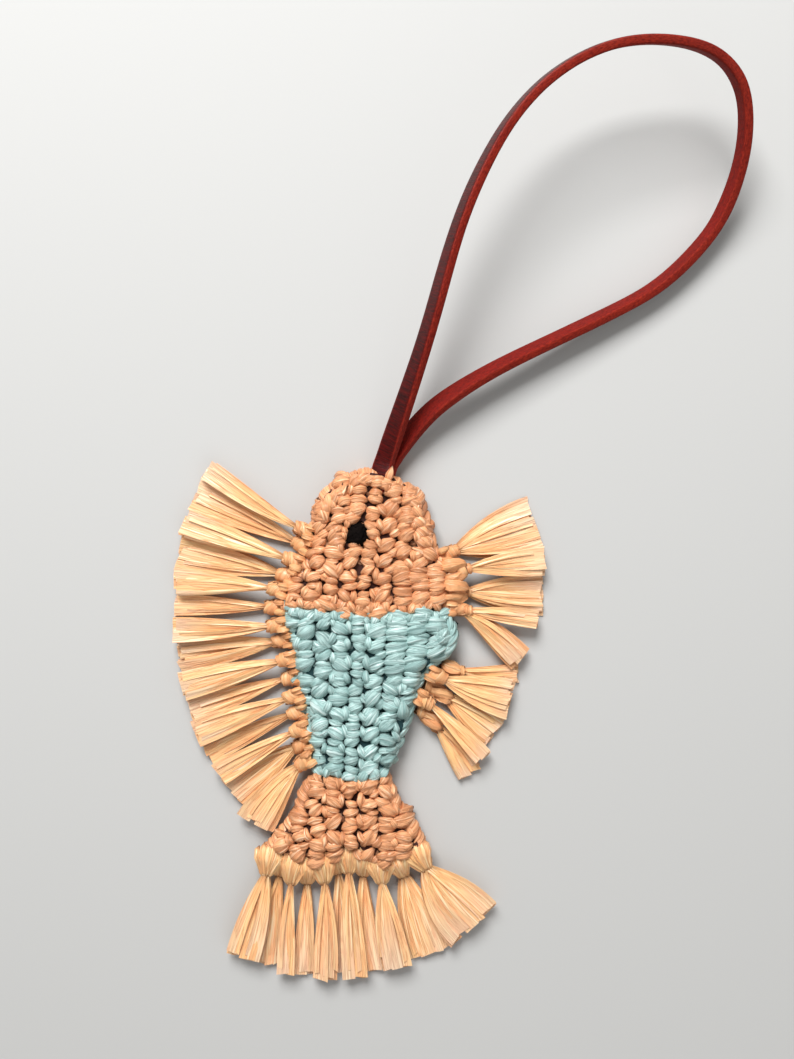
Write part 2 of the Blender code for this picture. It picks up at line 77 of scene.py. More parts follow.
# %% Dice
chance = random.Random(7)
crumple = np.random.default_rng(11)
print("dice:", type(chance).__name__, "and", type(crumple).__name__)

# %% [markdown]
# Edges, spines and laces are all smooth lines through a few chosen points. This kind of curve
# passes through each point, so the points can be read straight off the object, which a curve
# with handles wouldn't allow. A Line then answers two questions for any distance along it: where
# is it, and which way does it head.

# %% Smooth lines
EDGE_STEPS = 16                 # steps from one given point of an edge to the next


def smooth_points(given, steps):
    """Points on a smooth curve that passes through the given ones."""
    given = np.array(given, float)
    knots = np.vstack([2 * given[0] - given[1], given, 2 * given[-1] - given[-2]])
    made = []
    for i in range(1, len(knots) - 2):
        a, b, c, d = knots[i - 1:i + 3]
        for step in range(steps):
            t = step / steps
            made.append(0.5 * (2 * b + (c - a) * t + (2 * a - 5 * b + 4 * c - d) * t ** 2
                               + (3 * b - a - 3 * c + d) * t ** 3))
    made.append(given[-1])
    return np.array(made)


def unit(vectors):
    """Vectors scaled to length one."""
    return vectors / np.maximum(np.linalg.norm(vectors, axis=-1, keepdims=True), 1e-9)


class Line:
    """A line of points, read by the distance along it."""

    REACH = 0.4                 # how far each way a heading is measured

    def __init__(self, points):
        self.points = np.array(points, float)
        steps = np.linalg.norm(np.diff(self.points, axis=0), axis=1)
        self.reached = np.concatenate([[0.0], np.cumsum(steps)])
        self.length = self.reached[-1]

    def at(self, distance):
        return np.stack([np.interp(distance, self.reached, values) for values in self.points.T], -1)

    def heading(self, distance):
        distance = np.clip(distance, 0, self.length)
        ahead = np.minimum(distance + self.REACH, self.length)
        behind = np.maximum(distance - self.REACH, 0)
        return unit(self.at(ahead) - self.at(behind))

    def x_at(self, y):
        """Where a line that runs down the fish crosses the height y."""
        return np.interp(-y, -self.points[:, 1], self.points[:, 0])


def edge_line(points):
    """A smooth level line through points of the drawing."""
    return Line(smooth_points([(x, y, 0.0) for x, y in points], EDGE_STEPS))


print("a test line of 10 mm measures:", round(edge_line([(0, 0), (6, 8)]).length, 3))

# %% [markdown]
# The photograph looks straight down on the fish, so the camera hangs above the table and looks
# down. Its height and place were worked out from the lace, which is closer to the camera where
# it stands up in its loop. A normal lens with a tall sensor gives the photograph's narrow view.

# %% Camera
CAMERA_PLACE = np.array([8.75, 47.6, 257.5])
LENS, SENSOR_HEIGHT = 35.0, 36.0
NEAREST_SEEN = 10.0


def placed(name, data):
    """A new object in the scene that shows a mesh, a lamp or a camera."""
    thing = bpy.data.objects.new(name, data)
    bpy.context.scene.collection.objects.link(thing)
    return thing


camera = placed("camera", bpy.data.cameras.new("camera"))
camera.data.sensor_fit = "VERTICAL"
camera.data.sensor_height = SENSOR_HEIGHT
camera.data.lens = LENS
camera.data.clip_start = NEAREST_SEEN * MM
camera.location = CAMERA_PLACE * MM + SHIFT
bpy.context.scene.camera = camera
print("camera height in mm:", round(camera.location.z / MM, 1))

# %% [markdown]
# The floor is one large pale sheet. It belongs to the stage and not to the fish. A dull finish
# keeps the window from showing in it, so that only the soft shadow of the fish lies there.

# %% Floor
FLOOR_SIZE = 4000.0
FLOOR_COLOUR = (0.52, 0.52, 0.51, 1)
FLOOR_ROUGHNESS = 0.8


def new_finish(name):
    """A new material, with its node tree and its shader."""
    finish = bpy.data.materials.new(name)
    finish.use_nodes = True
    return finish, finish.node_tree, finish.node_tree.nodes["Principled BSDF"]


def mesh_of(name, bm):
    """The mesh that a bmesh has made. The bmesh itself isn't needed any more."""
    mesh = bpy.data.meshes.new(name)
    bm.to_mesh(mesh)
    bm.free()
    return mesh


def plain_floor():
    bm = bmesh.new()
    bmesh.ops.create_grid(bm, x_segments=1, y_segments=1, size=FLOOR_SIZE / 2 * MM)
    mesh = mesh_of("floor", bm)
    finish, _, shader = new_finish("floor")
    shader.inputs["Base Color"].default_value = FLOOR_COLOUR
    shader.inputs["Roughness"].default_value = FLOOR_ROUGHNESS
    mesh.materials.append(finish)
    floor = placed("floor", mesh)
    return floor


print("floor in mm:", round(plain_floor().dimensions.x / MM))

# %% [markdown]
# The light is one wide window beyond the top of the picture, about halfway up the sky, and the
# pale room all round. The wide window keeps the shadows soft, and still draws a bright edge on
# each strand and a dark gap beside it. A weak second light opens the shadows from the other side.

# %% Light
WINDOW_PLACE, WINDOW_SIZE, WINDOW_POWER = (-130.0, 560.0, 560.0), 380.0, 8.5
FILL_PLACE, FILL_SIZE, FILL_POWER = (260.0, -420.0, 620.0), 700.0, 1.2
ROOM_COLOUR, ROOM_STRENGTH = (1.0, 0.99, 0.97, 1), 0.30


def soft_light(name, place, size, power):
    """A square light that faces the middle of the fish."""
    lamp = bpy.data.lights.new(name, "AREA")
    lamp.size = size * MM
    lamp.energy = power
    holder = placed(name, lamp)
    aim = Vector(CAMERA_PLACE * (1, 1, 0)) - Vector(place)
    holder.location = Vector(place) * MM
    holder.rotation_mode = "QUATERNION"
    holder.rotation_quaternion = aim.to_track_quat("-Z", "Y")


soft_light("window", WINDOW_PLACE, WINDOW_SIZE, WINDOW_POWER)
soft_light("fill", FILL_PLACE, FILL_SIZE, FILL_POWER)
room = bpy.data.worlds.new("room")
room.use_nodes = True
room.node_tree.nodes["Background"].inputs["Color"].default_value = ROOM_COLOUR
room.node_tree.nodes["Background"].inputs["Strength"].default_value = ROOM_STRENGTH
bpy.context.scene.world = room
bpy.context.scene.view_settings.view_transform = "Standard"

# %% [markdown]
# Raffia, leather and yarn share one way of telling the material where a point of the surface
# lies: an attribute named grain, which holds millimetres across, through and along the strand.
# A texture that is stretched along the strand gives the fine lines of folded film, as bumps and
# as painted shade. A UV map would need a seam on every strand, and an attribute has none. Two
# more attributes tell each strand's tone, which differs at random and is set low where a strand
# is painted in shade, and its lift, which paints shade: 0 is painted as deep shade in a gap, 1
# is in the open, and 2 is thinned film, which pales.

# %% Finishing a piece
ATTRIBUTES = (("grain", "FLOAT_VECTOR"), ("tone", "FLOAT"), ("lift", "FLOAT"))
ROUNDED_ONCE = 1                # one round of subdivision makes a pressed strand smooth


def add_attributes(mesh):
    for name, kind in ATTRIBUTES:
        mesh.attributes.new(name, kind, "POINT")


def add_copy(bm, blank, co, grain, tone, lift):
    """Press a blank into a shape, and add it to the piece that is being made."""
    blank.vertices.foreach_set("co", np.asarray(co, np.float32).ravel())
    blank.attributes["grain"].data.foreach_set("vector", np.asarray(grain, np.float32).ravel())
    blank.attributes["tone"].data.foreach_set("value", np.full(len(co), tone, np.float32))
    blank.attributes["lift"].data.foreach_set("value", np.asarray(lift, np.float32))
    bm.from_mesh(blank)


def finish_piece(name, bm, finish, nodes, rounds=0, sharp=None):
    """Turn a bmesh in millimetres into a piece at its place in the frame.

    nodes: the solids that it stands for. sharp: the angle from which an edge stays sharp.
    """
    mesh = mesh_of(name, bm)
    co = np.empty(len(mesh.vertices) * 3)
    mesh.vertices.foreach_get("co", co)
    mesh.vertices.foreach_set("co", (co.reshape(-1, 3) * MM + SHIFT).ravel())
    mesh.shade_smooth()
    if sharp is not None:
        mesh.set_sharp_from_angle(angle=math.radians(sharp))
    mesh.materials.append(finish)
    piece = placed(name, mesh)
    if rounds:
        rounding = piece.modifiers.new("rounding", "SUBSURF")
        rounding.levels = rounding.render_levels = rounds
    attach(piece, "root")
    if nodes:
        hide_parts(*nodes)
    return piece


print("attributes of every strand:", [name for name, kind in ATTRIBUTES])

# %% [markdown]
# A material here is a few dozen nodes that are joined by links, and the same few steps come back
# all the time: a stretched noise, a range, a sum, a mix of two colours and a bump. Each step is
# a short function that gives back a socket, so a finish reads like a recipe.

# %% Small steps for materials
COLOUR, NUMBER, VECTOR = "NodeSocketColor", "NodeSocketFloat", "NodeSocketVector"


def plug(tree, value, socket):
    """Give a socket what another node puts out, or else a plain value."""
    if isinstance(value, bpy.types.NodeSocket):
        tree.links.new(value, socket)
    else:
        socket.default_value = value


def new_group(name, inputs, outputs):
    group = bpy.data.node_groups.new(name, "ShaderNodeTree")
    for socket, kind in inputs:
        group.interface.new_socket(socket, in_out="INPUT", socket_type=kind)
    for socket, kind in outputs:
        group.interface.new_socket(socket, in_out="OUTPUT", socket_type=kind)
    given = group.nodes.new("NodeGroupInput").outputs
    made = group.nodes.new("NodeGroupOutput").inputs
    return group, given, made


def attribute(tree, name, socket):
    """What an attribute of the mesh says at a point of the surface."""
    node = tree.nodes.new("ShaderNodeAttribute")
    node.attribute_name = name
    return node.outputs[socket]


def stretched_noise(tree, grain, stretch, scale, detail):
    """A noise whose grains are stretched along the strand."""
    mapping = tree.nodes.new("ShaderNodeMapping")
    noise = tree.nodes.new("ShaderNodeTexNoise")
    plug(tree, grain, mapping.inputs["Vector"])
    plug(tree, stretch, mapping.inputs["Scale"])
    plug(tree, mapping.outputs["Vector"], noise.inputs["Vector"])
    plug(tree, scale, noise.inputs["Scale"])
    plug(tree, detail, noise.inputs["Detail"])
    return noise.outputs["Fac"]


def ranged(tree, value, low, high, new_low=0.0, new_high=1.0):
    """A value spread from one range to another, and held at both ends."""
    node = tree.nodes.new("ShaderNodeMapRange")
    plug(tree, value, node.inputs["Value"])
    ends = {"From Min": low, "From Max": high, "To Min": new_low, "To Max": new_high}
    for socket, number in ends.items():
        plug(tree, number, node.inputs[socket])
    return node.outputs["Result"]


def worked(tree, operation, first, second=0.0):
    """The result of a sum of two values, either of which may be a plain number."""
    node = tree.nodes.new("ShaderNodeMath")
    node.operation = operation
    plug(tree, first, node.inputs[0])
    plug(tree, second, node.inputs[1])
    return node.outputs["Value"]


def mixed(tree, share, first, second):
    """Two colours mixed. A share of 0 gives the first one."""
    node = tree.nodes.new("ShaderNodeMix")
    node.data_type = "RGBA"
    factor = next(socket for socket in node.inputs if socket.type == "VALUE")
    colour_a, colour_b = [socket for socket in node.inputs if socket.type == "RGBA"]
    plug(tree, share, factor)
    plug(tree, first, colour_a)
    plug(tree, second, colour_b)
    return next(socket for socket in node.outputs if socket.type == "RGBA")


def bumped(tree, height, strength, distance):
    """The way a surface faces where a height, in millimetres, has bent it."""
    node = tree.nodes.new("ShaderNodeBump")
    plug(tree, strength, node.inputs["Strength"])
    plug(tree, distance * MM, node.inputs["Distance"])
    plug(tree, height, node.inputs["Height"])
    return node.outputs["Normal"]


print("kinds of socket:", COLOUR, NUMBER, VECTOR)

# %% [markdown]
# A shader node group holds what all raffia has in common, whatever its colour: the long fine
# lines of a pleated film with painted shade along its creases, painted shade where a strand dives
# between its neighbours, and painted highlights along the folds. It is built once, and each colour
# of raffia uses it with its own five colours. The group puts out a colour, a roughness and a
# height, and the shader itself stays in the material.

# %% Raffia film
FINE_LINES = {"stretch": (1.0, 1.0, 0.05), "scale": 1.5, "detail": 2.0}
BROAD_FOLDS = {"stretch": (1.0, 1.0, 0.10), "scale": 0.8, "detail": 1.0}
# The two constants below set painted shade: the dark lines in the creases, and the gap shade.
LINE_WIDTH = 0.045              # how much of the noise's own range a line between folds takes
GAP_LIFTS = (0.10, 0.70)        # all dark below the first lift, and lit from the second one on


def raffia_group():
    tree, given, made = new_group(
        "raffia_film",
        [("Grain", VECTOR), ("Tone", NUMBER), ("Lift", NUMBER), ("Deep", COLOUR),
         ("Shade", COLOUR), ("Body", COLOUR), ("Light", COLOUR), ("Pale", COLOUR)],
        [("Colour", COLOUR), ("Roughness", NUMBER), ("Height", NUMBER)])
    tone, lift = given["Tone"], given["Lift"]
    fine = stretched_noise(tree, given["Grain"], **FINE_LINES)
    broad = stretched_noise(tree, given["Grain"], **BROAD_FOLDS)
    off_line = worked(tree, "ABSOLUTE", worked(tree, "SUBTRACT", fine, 0.5))
    between_lines = ranged(tree, off_line, 0.0, LINE_WIDTH)
    folded = ranged(tree, broad, 0.36, 0.58, 0.45, 1.0)
    smooth = worked(tree, "MULTIPLY", folded, ranged(tree, between_lines, 0, 1, 0.35, 1.0))
    # Painted shade: the lines between folds and the broad folds are darkened towards the Shade
    # colour.
    film = mixed(tree, smooth, given["Shade"], given["Body"])
    # A tone below 0 mixes a strand towards the painted crease shade, which is darker and more
    # orange.
    # Thinned film pales, and whatever lies deep in a gap gets the painted gap shade and turns dull.
    tight = mixed(tree, ranged(tree, tone, -1, 0, 0.8, 0.0), film, given["Shade"])
    thin = mixed(tree, ranged(tree, lift, 1, 2, 0.0, 0.7), tight, given["Pale"])
    base = mixed(tree, ranged(tree, lift, *GAP_LIFTS), given["Deep"], thin)
    # Painted highlight: bright streaks along the folds are mixed towards the highlight colour.
    highlight_streaks = ranged(tree, fine, 0.55, 0.72)
    shine = worked(tree, "MULTIPLY", highlight_streaks, ranged(tree, tone, -1, 1, 0.2, 0.8))
    highlighted = mixed(tree, shine, base, given["Light"])
    toned = tree.nodes.new("ShaderNodeHueSaturation")
    plug(tree, ranged(tree, tone, -1, 1, 0.90, 1.07), toned.inputs["Value"])
    plug(tree, highlighted, toned.inputs["Color"])
    plug(tree, toned.outputs["Color"], made["Colour"])
    satin = ranged(tree, fine, 0.3, 0.7, 0.50, 0.32)
    dull = ranged(tree, lift, *GAP_LIFTS, 0.45, 0.0)
    plug(tree, worked(tree, "ADD", satin, dull), made["Roughness"])
    ridges = worked(tree, "MULTIPLY", between_lines, 0.3)
    height = worked(tree, "ADD", ridges, worked(tree, "MULTIPLY", fine, 0.8))
    plug(tree, worked(tree, "ADD", height, broad), made["Height"])
    return tree


RAFFIA_FILM = raffia_group()
print("raffia film:", len(RAFFIA_FILM.nodes), "nodes")

# %% [markdown]
# The fish has tan raffia for its head and tail, aqua for its body and pale peach for its
# tassels. Each is the same film in five colours: painted shade deep in a gap, painted shade in the
# folds, the body of a strand, a painted highlight along a bright fold, and the paler film where it
# thins out at a tip.

# %% Raffia colours
FOLD_STRENGTH, RAFFIA_SHINE = 0.9, 0.5


def grouped_finish(name, group, strength, relief, shine, **shades):
    """A material from a node group. The group reads the attributes that it has inputs for."""
    finish, tree, shader = new_finish(name)
    made = tree.nodes.new("ShaderNodeGroup")
    made.node_tree = group
    for source, socket in (("Grain", "Vector"), ("Tone", "Fac"), ("Lift", "Fac")):
        if source in made.inputs:
            plug(tree, attribute(tree, source.lower(), socket), made.inputs[source])
    for shade, colour in shades.items():
        plug(tree, (*colour, 1), made.inputs[shade.capitalize()])
    plug(tree, bumped(tree, made.outputs["Height"], strength, relief), shader.inputs["Normal"])
    plug(tree, made.outputs["Colour"], shader.inputs["Base Color"])
    plug(tree, made.outputs["Roughness"], shader.inputs["Roughness"])
    plug(tree, shine, shader.inputs["Specular IOR Level"])
    return finish


def raffia(name, fold_height, **shades):
    return grouped_finish(name, RAFFIA_FILM, FOLD_STRENGTH, fold_height, RAFFIA_SHINE, **shades)


# The first two colours of each are painted shade, in gaps and in folds, and the fourth is a painted
# highlight.
TAN = raffia("tan_raffia", 0.34, deep=(0.045, 0.010, 0.006), shade=(0.52, 0.18, 0.07),
             body=(0.90, 0.43, 0.205), light=(1.0, 0.74, 0.50), pale=(0.95, 0.62, 0.40))
AQUA = raffia("aqua_raffia", 0.34, deep=(0.007, 0.040, 0.045), shade=(0.20, 0.36, 0.345),
              body=(0.455, 0.655, 0.625), light=(0.84, 0.93, 0.91), pale=(0.75, 0.85, 0.82))
PEACH = raffia("peach_raffia", 0.30, deep=(0.20, 0.055, 0.014), shade=(0.88, 0.37, 0.155),
               body=(0.92, 0.575, 0.262), light=(1.0, 0.82, 0.55), pale=(0.84, 0.60, 0.45))
print("materials:", [finish.name for finish in (TAN, AQUA, PEACH)])

# %% [markdown]
# One crochet strand is a plump bundle of folded film that dives into the fabric at both ends.
# A sphere with few faces makes a good blank for it: its poles become the tucked ends. Each copy
# of the blank is bent along a path of its own and its sides are pressed in and out, which gives
# the pleats. A curve with a bevel could follow the same paths, but it can't be pleated. The fish
# has over a thousand strands, so the blank has only sixty faces, and a crease along every other
# line keeps the folds crisp when the subdivision rounds it.

# %% The strand blank
STRAND_SIDES, STRAND_RINGS = 10, 6
FOLD_SHARPNESS = 0.9            # how crisp every other line along a strand is
POLE_RADIUS = 0.1               # a point this near to the axis is a pole


def side_of(x, y):
    """Which of the lines along a strand a point is on."""
    return np.round(np.arctan2(y, x) / (math.tau / STRAND_SIDES)).astype(int) % STRAND_SIDES


def strand_blank():
    bm = bmesh.new()
    bmesh.ops.create_uvsphere(bm, u_segments=STRAND_SIDES, v_segments=STRAND_RINGS, radius=1.0)
    fold = bm.edges.layers.float.new("crease_edge")
    for edge in bm.edges:
        sides = {side_of(vert.co.x, vert.co.y) for vert in edge.verts
                 if math.hypot(vert.co.x, vert.co.y) > POLE_RADIUS}
        edge[fold] = FOLD_SHARPNESS if len(sides) == 1 and sides.pop() % 2 == 0 else 0.0
    mesh = mesh_of("strand_blank", bm)
    add_attributes(mesh)
    return mesh


STRAND = strand_blank()
ball = np.array([vert.co for vert in STRAND.vertices])
STRAND_ALONG = np.arccos(np.clip(ball[:, 2], -1, 1)) / math.pi
STRAND_AROUND = np.arctan2(ball[:, 1], ball[:, 0])
STRAND_SIDE = side_of(ball[:, 0], ball[:, 1])
print("strand blank:", len(STRAND.polygons), "faces")

# %% [markdown]
# Laying a strand is one formula for all the points of the blank at once. A point's angle from
# the pole says how far along the path it goes, and its angle round the axis says which side of
# the strand it is on. Where two strands cross, they run a little into each other, as soft
# strands do that are pressed together.

# %% Laying a strand
PATH_STEPS = 5
CRUMPLE = 0.08                  # how unevenly the film is crumpled
PLUMPER = 1.09                  # subdivision draws a coarse blank in, so it is pressed wider
ON_TABLE = 0.05                 # nothing reaches lower than this: the table presses it flat
RIDGES = (0.0, 0.25)            # how far a ridge may stand out, before it is creased
GROOVES = (0.15, 0.25, 0.4, 0.9)
FINE_GRAIN = 1.45               # a plump strand's lines lie closer than a loose ribbon's
FAR_APART = 900                 # strands read the noise this far apart, so no two look alike


def fold_sizes(crease):
    """Every other line along a strand is a ridge, and most of the grooves between are shallow."""
    sizes = []
    for side in range(STRAND_SIDES):
        ridge = side % 2 == 0
        out = chance.uniform(*RIDGES) if ridge else -chance.choice(GROOVES)
        sizes.append(1 + crease * out)
    return np.array(sizes)


def lay_strand(bm, points, width, height, side=None, fullness=0.6, lean=1.0, twist=0.7,
               crease=0.55, tone=None, sunk=1.0):
    """One strand through the given points: width lies along side, or else flat on the table.

    fullness: 0.3 gives blunt ends and 1 gives pointed ones. lean: under 1 it is fattest nearer
    its start. sunk: 1 in the open, less in a gap, where it gets more painted shade.
    """
    path = Line(smooth_points(points, PATH_STEPS))
    reach = STRAND_ALONG * path.length
    middle, ahead = path.at(reach), path.heading(reach)
    across = unit(np.cross(ahead, UP)) if side is None else np.tile(side, (len(reach), 1))
    over = np.cross(across, ahead)
    rough = crumple.uniform(1 - CRUMPLE, 1 + CRUMPLE, len(reach))
    full = np.sin(math.pi * STRAND_ALONG ** lean) ** fullness
    full = full * fold_sizes(crease)[STRAND_SIDE] * rough
    around = STRAND_AROUND + twist * (STRAND_ALONG - 0.5) + chance.uniform(0, math.tau)
    wide = PLUMPER * width / 2 * np.cos(around)
    high = PLUMPER * height / 2 * np.sin(around)
    co = middle + across * (full * wide)[:, None] + over * (full * high)[:, None]
    co[:, 2] = np.maximum(co[:, 2], ON_TABLE)
    along = reach + chance.uniform(0, FAR_APART)
    grain = np.stack([wide * FINE_GRAIN, high * FINE_GRAIN, along], -1)
    # Painted shade: the lift falls to 0 at both tucked ends, which the material paints dark.
    lift = sunk * np.sin(math.pi * STRAND_ALONG) ** 0.7
    add_copy(bm, STRAND, co, grain, chance.uniform(-0.5, 1) if tone is None else tone, lift)


def bent(root, ahead, side, steps):
    """Points for a strand, each so far ahead of its root, beside it and above the table."""
    return [root + ahead * on + side * aside + UP * up for on, aside, up in steps]


print("points of a strand:", len(STRAND_ALONG))

# %% [markdown]
# The lace is a flat strip of leather, 5 mm wide, dyed dark red. It is cut to one length, folded
# over, and both ends are held in the nose, so it goes into the object at both ends. It stands
# on its edge in a springy loop, as stiff leather does. The route is a row of places on its
# middle line, each with the turn of its smooth face: 0 degrees faces sideways, and 90 faces up.

# %% The lace's route
LACE_WIDTH, LACE_THICKNESS, LACE_SPACING, LACE_LEAD = 5.0, 2.2, 0.3, 3.0
SLOT_DEPTH, SLOT_GAP = 6.0, 0.3
NOSE_TILT, SLOT_HEADING = 64.0, 17.0
SLOT_MOUTH = np.array([5.6, 62.0, 4.25])
LACE_ROUTE = [
    (8.8, 73.1, 8.5, 52), (15.9, 93.6, 15.0, 36), (21.3, 112.9, 19.0, 29),
    (26.2, 126.0, 21.5, 26), (32.9, 138.6, 22.8, 23), (39.7, 147.0, 23.2, 21),
    (46.0, 152.3, 23.2, 21), (52.4, 156.0, 23.2, 21), (59.3, 158.5, 23.0, 22),
    (67.6, 159.7, 22.3, 22), (77.4, 159.2, 20.8, 20), (84.8, 156.3, 19.0, 15),
    (89.7, 150.6, 16.5, 5), (91.6, 142.9, 13.0, -5), (91.4, 135.1, 9.3, -13),
    (89.3, 127.0, 5.8, -19), (84.9, 119.0, 3.6, -23), (74.0, 108.1, 3.1, -26),
    (61.9, 101.3, 3.6, -29), (47.2, 94.1, 4.8, -32), (33.0, 87.1, 6.0, -36),
    (22.3, 80.6, 6.2, -44), (15.0, 74.7, 5.3, -54),
]
LACE_STEPS = 6
LACE_EASING = 8                 # rounds of smoothing, because stiff leather bends evenly


def beside(along, way=1):
    """The level direction at right angles to a heading: on its left for 1, its right for -1."""
    return np.array([-along[1], along[0], 0.0]) * way


def face_normal(heading, turn):
    """The way that the lace's smooth face looks, where it runs along heading."""
    tilt = math.radians(turn)
    return unit(beside(heading)) * math.cos(tilt) + UP * math.sin(tilt)


def lace_route():
    """Points of the lace's middle line with the turn of its smooth face, from end to end."""
    turn = math.radians(SLOT_HEADING)
    ahead = np.array([math.sin(turn), math.cos(turn), 0.0])
    apart = face_normal(ahead, NOSE_TILT) * (LACE_THICKNESS + LACE_SPACING) / 2
    reaches = (SLOT_GAP - SLOT_DEPTH, 0.0, LACE_LEAD)
    route = [(*(SLOT_MOUTH + apart + ahead * reach), NOSE_TILT) for reach in reaches]
    route += LACE_ROUTE
    route += [(*(SLOT_MOUTH - apart + ahead * reach), -NOSE_TILT) for reach in reversed(reaches)]
    line = smooth_points(route, LACE_STEPS)
    for _ in range(LACE_EASING):
        line[2:-2] = (line[1:-3] + 2 * line[2:-2] + line[3:-1]) / 4
    return line


lace_line = lace_route()
lace_path = Line(lace_line[:, :3])
print("lace length in mm:", round(lace_path.length, 1), "stations:", len(lace_line))

# %% [markdown]
# The dyed leather has three looks. Its grain side is dark and almost smooth, with fine wrinkles
# across the strip, its flesh side is a rough brighter red, and its cut edges are the brightest
# red. One material shows all three, told apart by the grain attribute, so no face of the strip
# needs a material of its own.

# %% Leather finish
GRAIN_SIDE = (0.018, 0.0006, 0.0005, 1), (0.085, 0.0015, 0.001, 1)
FLESH_SIDE = (0.10, 0.003, 0.001, 1), (0.27, 0.009, 0.003, 1)
CUT_EDGE = (0.12, 0.004, 0.002, 1), (0.34, 0.024, 0.009, 1)
DARK_PATCH = (0.09, 0.003, 0.002, 1)
WRINKLES = {"stretch": (0.16, 0.16, 1.5), "scale": 2.4, "detail": 3.0}
PORES = {"stretch": (1.0, 1.0, 1.0), "scale": 5.0, "detail": 3.0}
PATCHES = {"stretch": (0.2, 0.2, 0.06), "scale": 1.0, "detail": 2.0}
FIBRES = {"stretch": (1.0, 1.0, 0.3), "scale": 4.0, "detail": 5.0}
LEATHER_BUMP, LEATHER_RELIEF, LEATHER_SHINE = 0.7, 0.15, 0.18


def leather_group():
    """Grain side, flesh side and cut edges of a dyed strap."""
    tree, given, made = new_group(
        "strap_leather", [("Grain", VECTOR)],
        [("Colour", COLOUR), ("Roughness", NUMBER), ("Height", NUMBER)])
    place = tree.nodes.new("ShaderNodeSeparateXYZ")
    plug(tree, given["Grain"], place.inputs["Vector"])
    smooth_side = ranged(tree, place.outputs["Y"], 0.2, 0.9)
    sideways = worked(tree, "ABSOLUTE", place.outputs["X"])
    cut_edge = ranged(tree, sideways, 2.05, 2.35)
    near_edge = ranged(tree, sideways, 1.7, 2.3)
    wrinkles, pores, patches, fibres = [stretched_noise(tree, given["Grain"], **noise)
                                        for noise in (WRINKLES, PORES, PATCHES, FIBRES)]
    smooth = mixed(tree, ranged(tree, wrinkles, 0.35, 0.65), *GRAIN_SIDE)
    rough = mixed(tree, ranged(tree, fibres, 0.3, 0.7), *FLESH_SIDE)
    edge = mixed(tree, ranged(tree, fibres, 0.3, 0.7), *CUT_EDGE)
    faces = mixed(tree, smooth_side, rough, smooth)
    wear = worked(tree, "MULTIPLY", near_edge, ranged(tree, pores, 0.45, 0.6, 0, 0.6))
    worn = mixed(tree, wear, faces, edge)
    whole = mixed(tree, cut_edge, worn, edge)
    plug(tree, mixed(tree, ranged(tree, patches, 0.3, 0.7, 0.0, 0.35), whole, DARK_PATCH),
         made["Colour"])
    dull = ranged(tree, smooth_side, 0, 1, 0.78, 0.42)
    plug(tree, worked(tree, "ADD", dull, ranged(tree, pores, 0.3, 0.7, -0.06, 0.08)),
         made["Roughness"])
    plug(tree, worked(tree, "ADD", wrinkles, worked(tree, "MULTIPLY", pores, 0.4)),
         made["Height"])
    return tree


LEATHER = grouped_finish("red_leather", leather_group(), LEATHER_BUMP, LEATHER_RELIEF,
                         LEATHER_SHINE)
print("leather:", LEATHER.name, len(LEATHER.node_tree.nodes), "nodes")

# %% [markdown]
# The strip is swept by extruding one ring of edges from station to station. The ring is a circle
# that is pressed into a flat box with slightly rounded corners. A curve with a bevel would need
# a tilt for each point, and here the route itself says how the strip turns. Leather is cut by
# hand, so each station's width wavers a little.

# %% The lace itself
LACE_SIDES = 20
CORNER_ROUNDING = 0.30          # 1 gives an oval, and 0 a box with sharp corners
CUT_WAVER, WAVES, WAVE_STEPS = 0.10, 60, 4
LACE_SHARP = 50                 # the cut corners are sharper than this, in degrees


def strap_section(around, waver):
    """A corner of the strap's section: across its face and through its thickness."""
    c, s = math.cos(around), math.sin(around)
    across = math.copysign(abs(c) ** CORNER_ROUNDING, c) * (LACE_WIDTH / 2 + waver)
    through = math.copysign(abs(s) ** CORNER_ROUNDING, s) * LACE_THICKNESS / 2
    return across, through


def next_ring(bm, edges, arounds):
    """Extrude a ring of edges. Each new corner keeps its angle round the strap."""
    made = bmesh.ops.extrude_edge_only(bm, edges=edges)["geom"]
    ring = {}
    for vert in (item for item in made if isinstance(item, bmesh.types.BMVert)):
        ring[vert] = next(arounds[edge.other_vert(vert)] for edge in vert.link_edges
                          if edge.other_vert(vert) in arounds)
    return [item for item in made if isinstance(item, bmesh.types.BMEdge)], ring


def hanging_lace():
    bm = bmesh.new()
    grain = bm.verts.layers.float_vector.new("grain")
    bmesh.ops.create_circle(bm, cap_ends=False, segments=LACE_SIDES, radius=1.0)
    half_side = math.pi / LACE_SIDES
    arounds = {vert: math.atan2(vert.co.y, vert.co.x) + half_side for vert in bm.verts}
    edges = list(bm.edges)
    wavers = smooth_points([(chance.uniform(-1, 1) * CUT_WAVER,) for _ in range(WAVES)], WAVE_STEPS)
    for station, (x, y, z, turn) in enumerate(lace_line):
        if station:
            edges, arounds = next_ring(bm, edges, arounds)
        distance = lace_path.reached[station]
        heading = lace_path.heading(distance)
        face = face_normal(heading, turn)
        face = unit(face - heading * face.dot(heading))
        across = np.cross(heading, face)
        for vert, around in arounds.items():
            wide, thick = strap_section(around, wavers[station % len(wavers), 0])
            vert.co = np.array([x, y, z]) + across * wide + face * thick
            vert[grain] = (wide, thick, distance)
    bmesh.ops.holes_fill(bm, edges=[edge for edge in bm.edges if edge.is_boundary])
    bmesh.ops.recalc_face_normals(bm, faces=bm.faces)
    return finish_piece("leather_lace", bm, LEATHER, ["hanging_lace"],
                        sharp=LACE_SHARP)


lace = hanging_lace()
print("lace faces:", len(lace.data.polygons))

# %% [markdown]
# The three crocheted panels share one spine and have their edges from the solids: head and
# tail in tan, body in aqua. Each edge is a smooth line through points that lie on the outline of
# the real fish, and a seam between two colours is a line across it that bows a little.

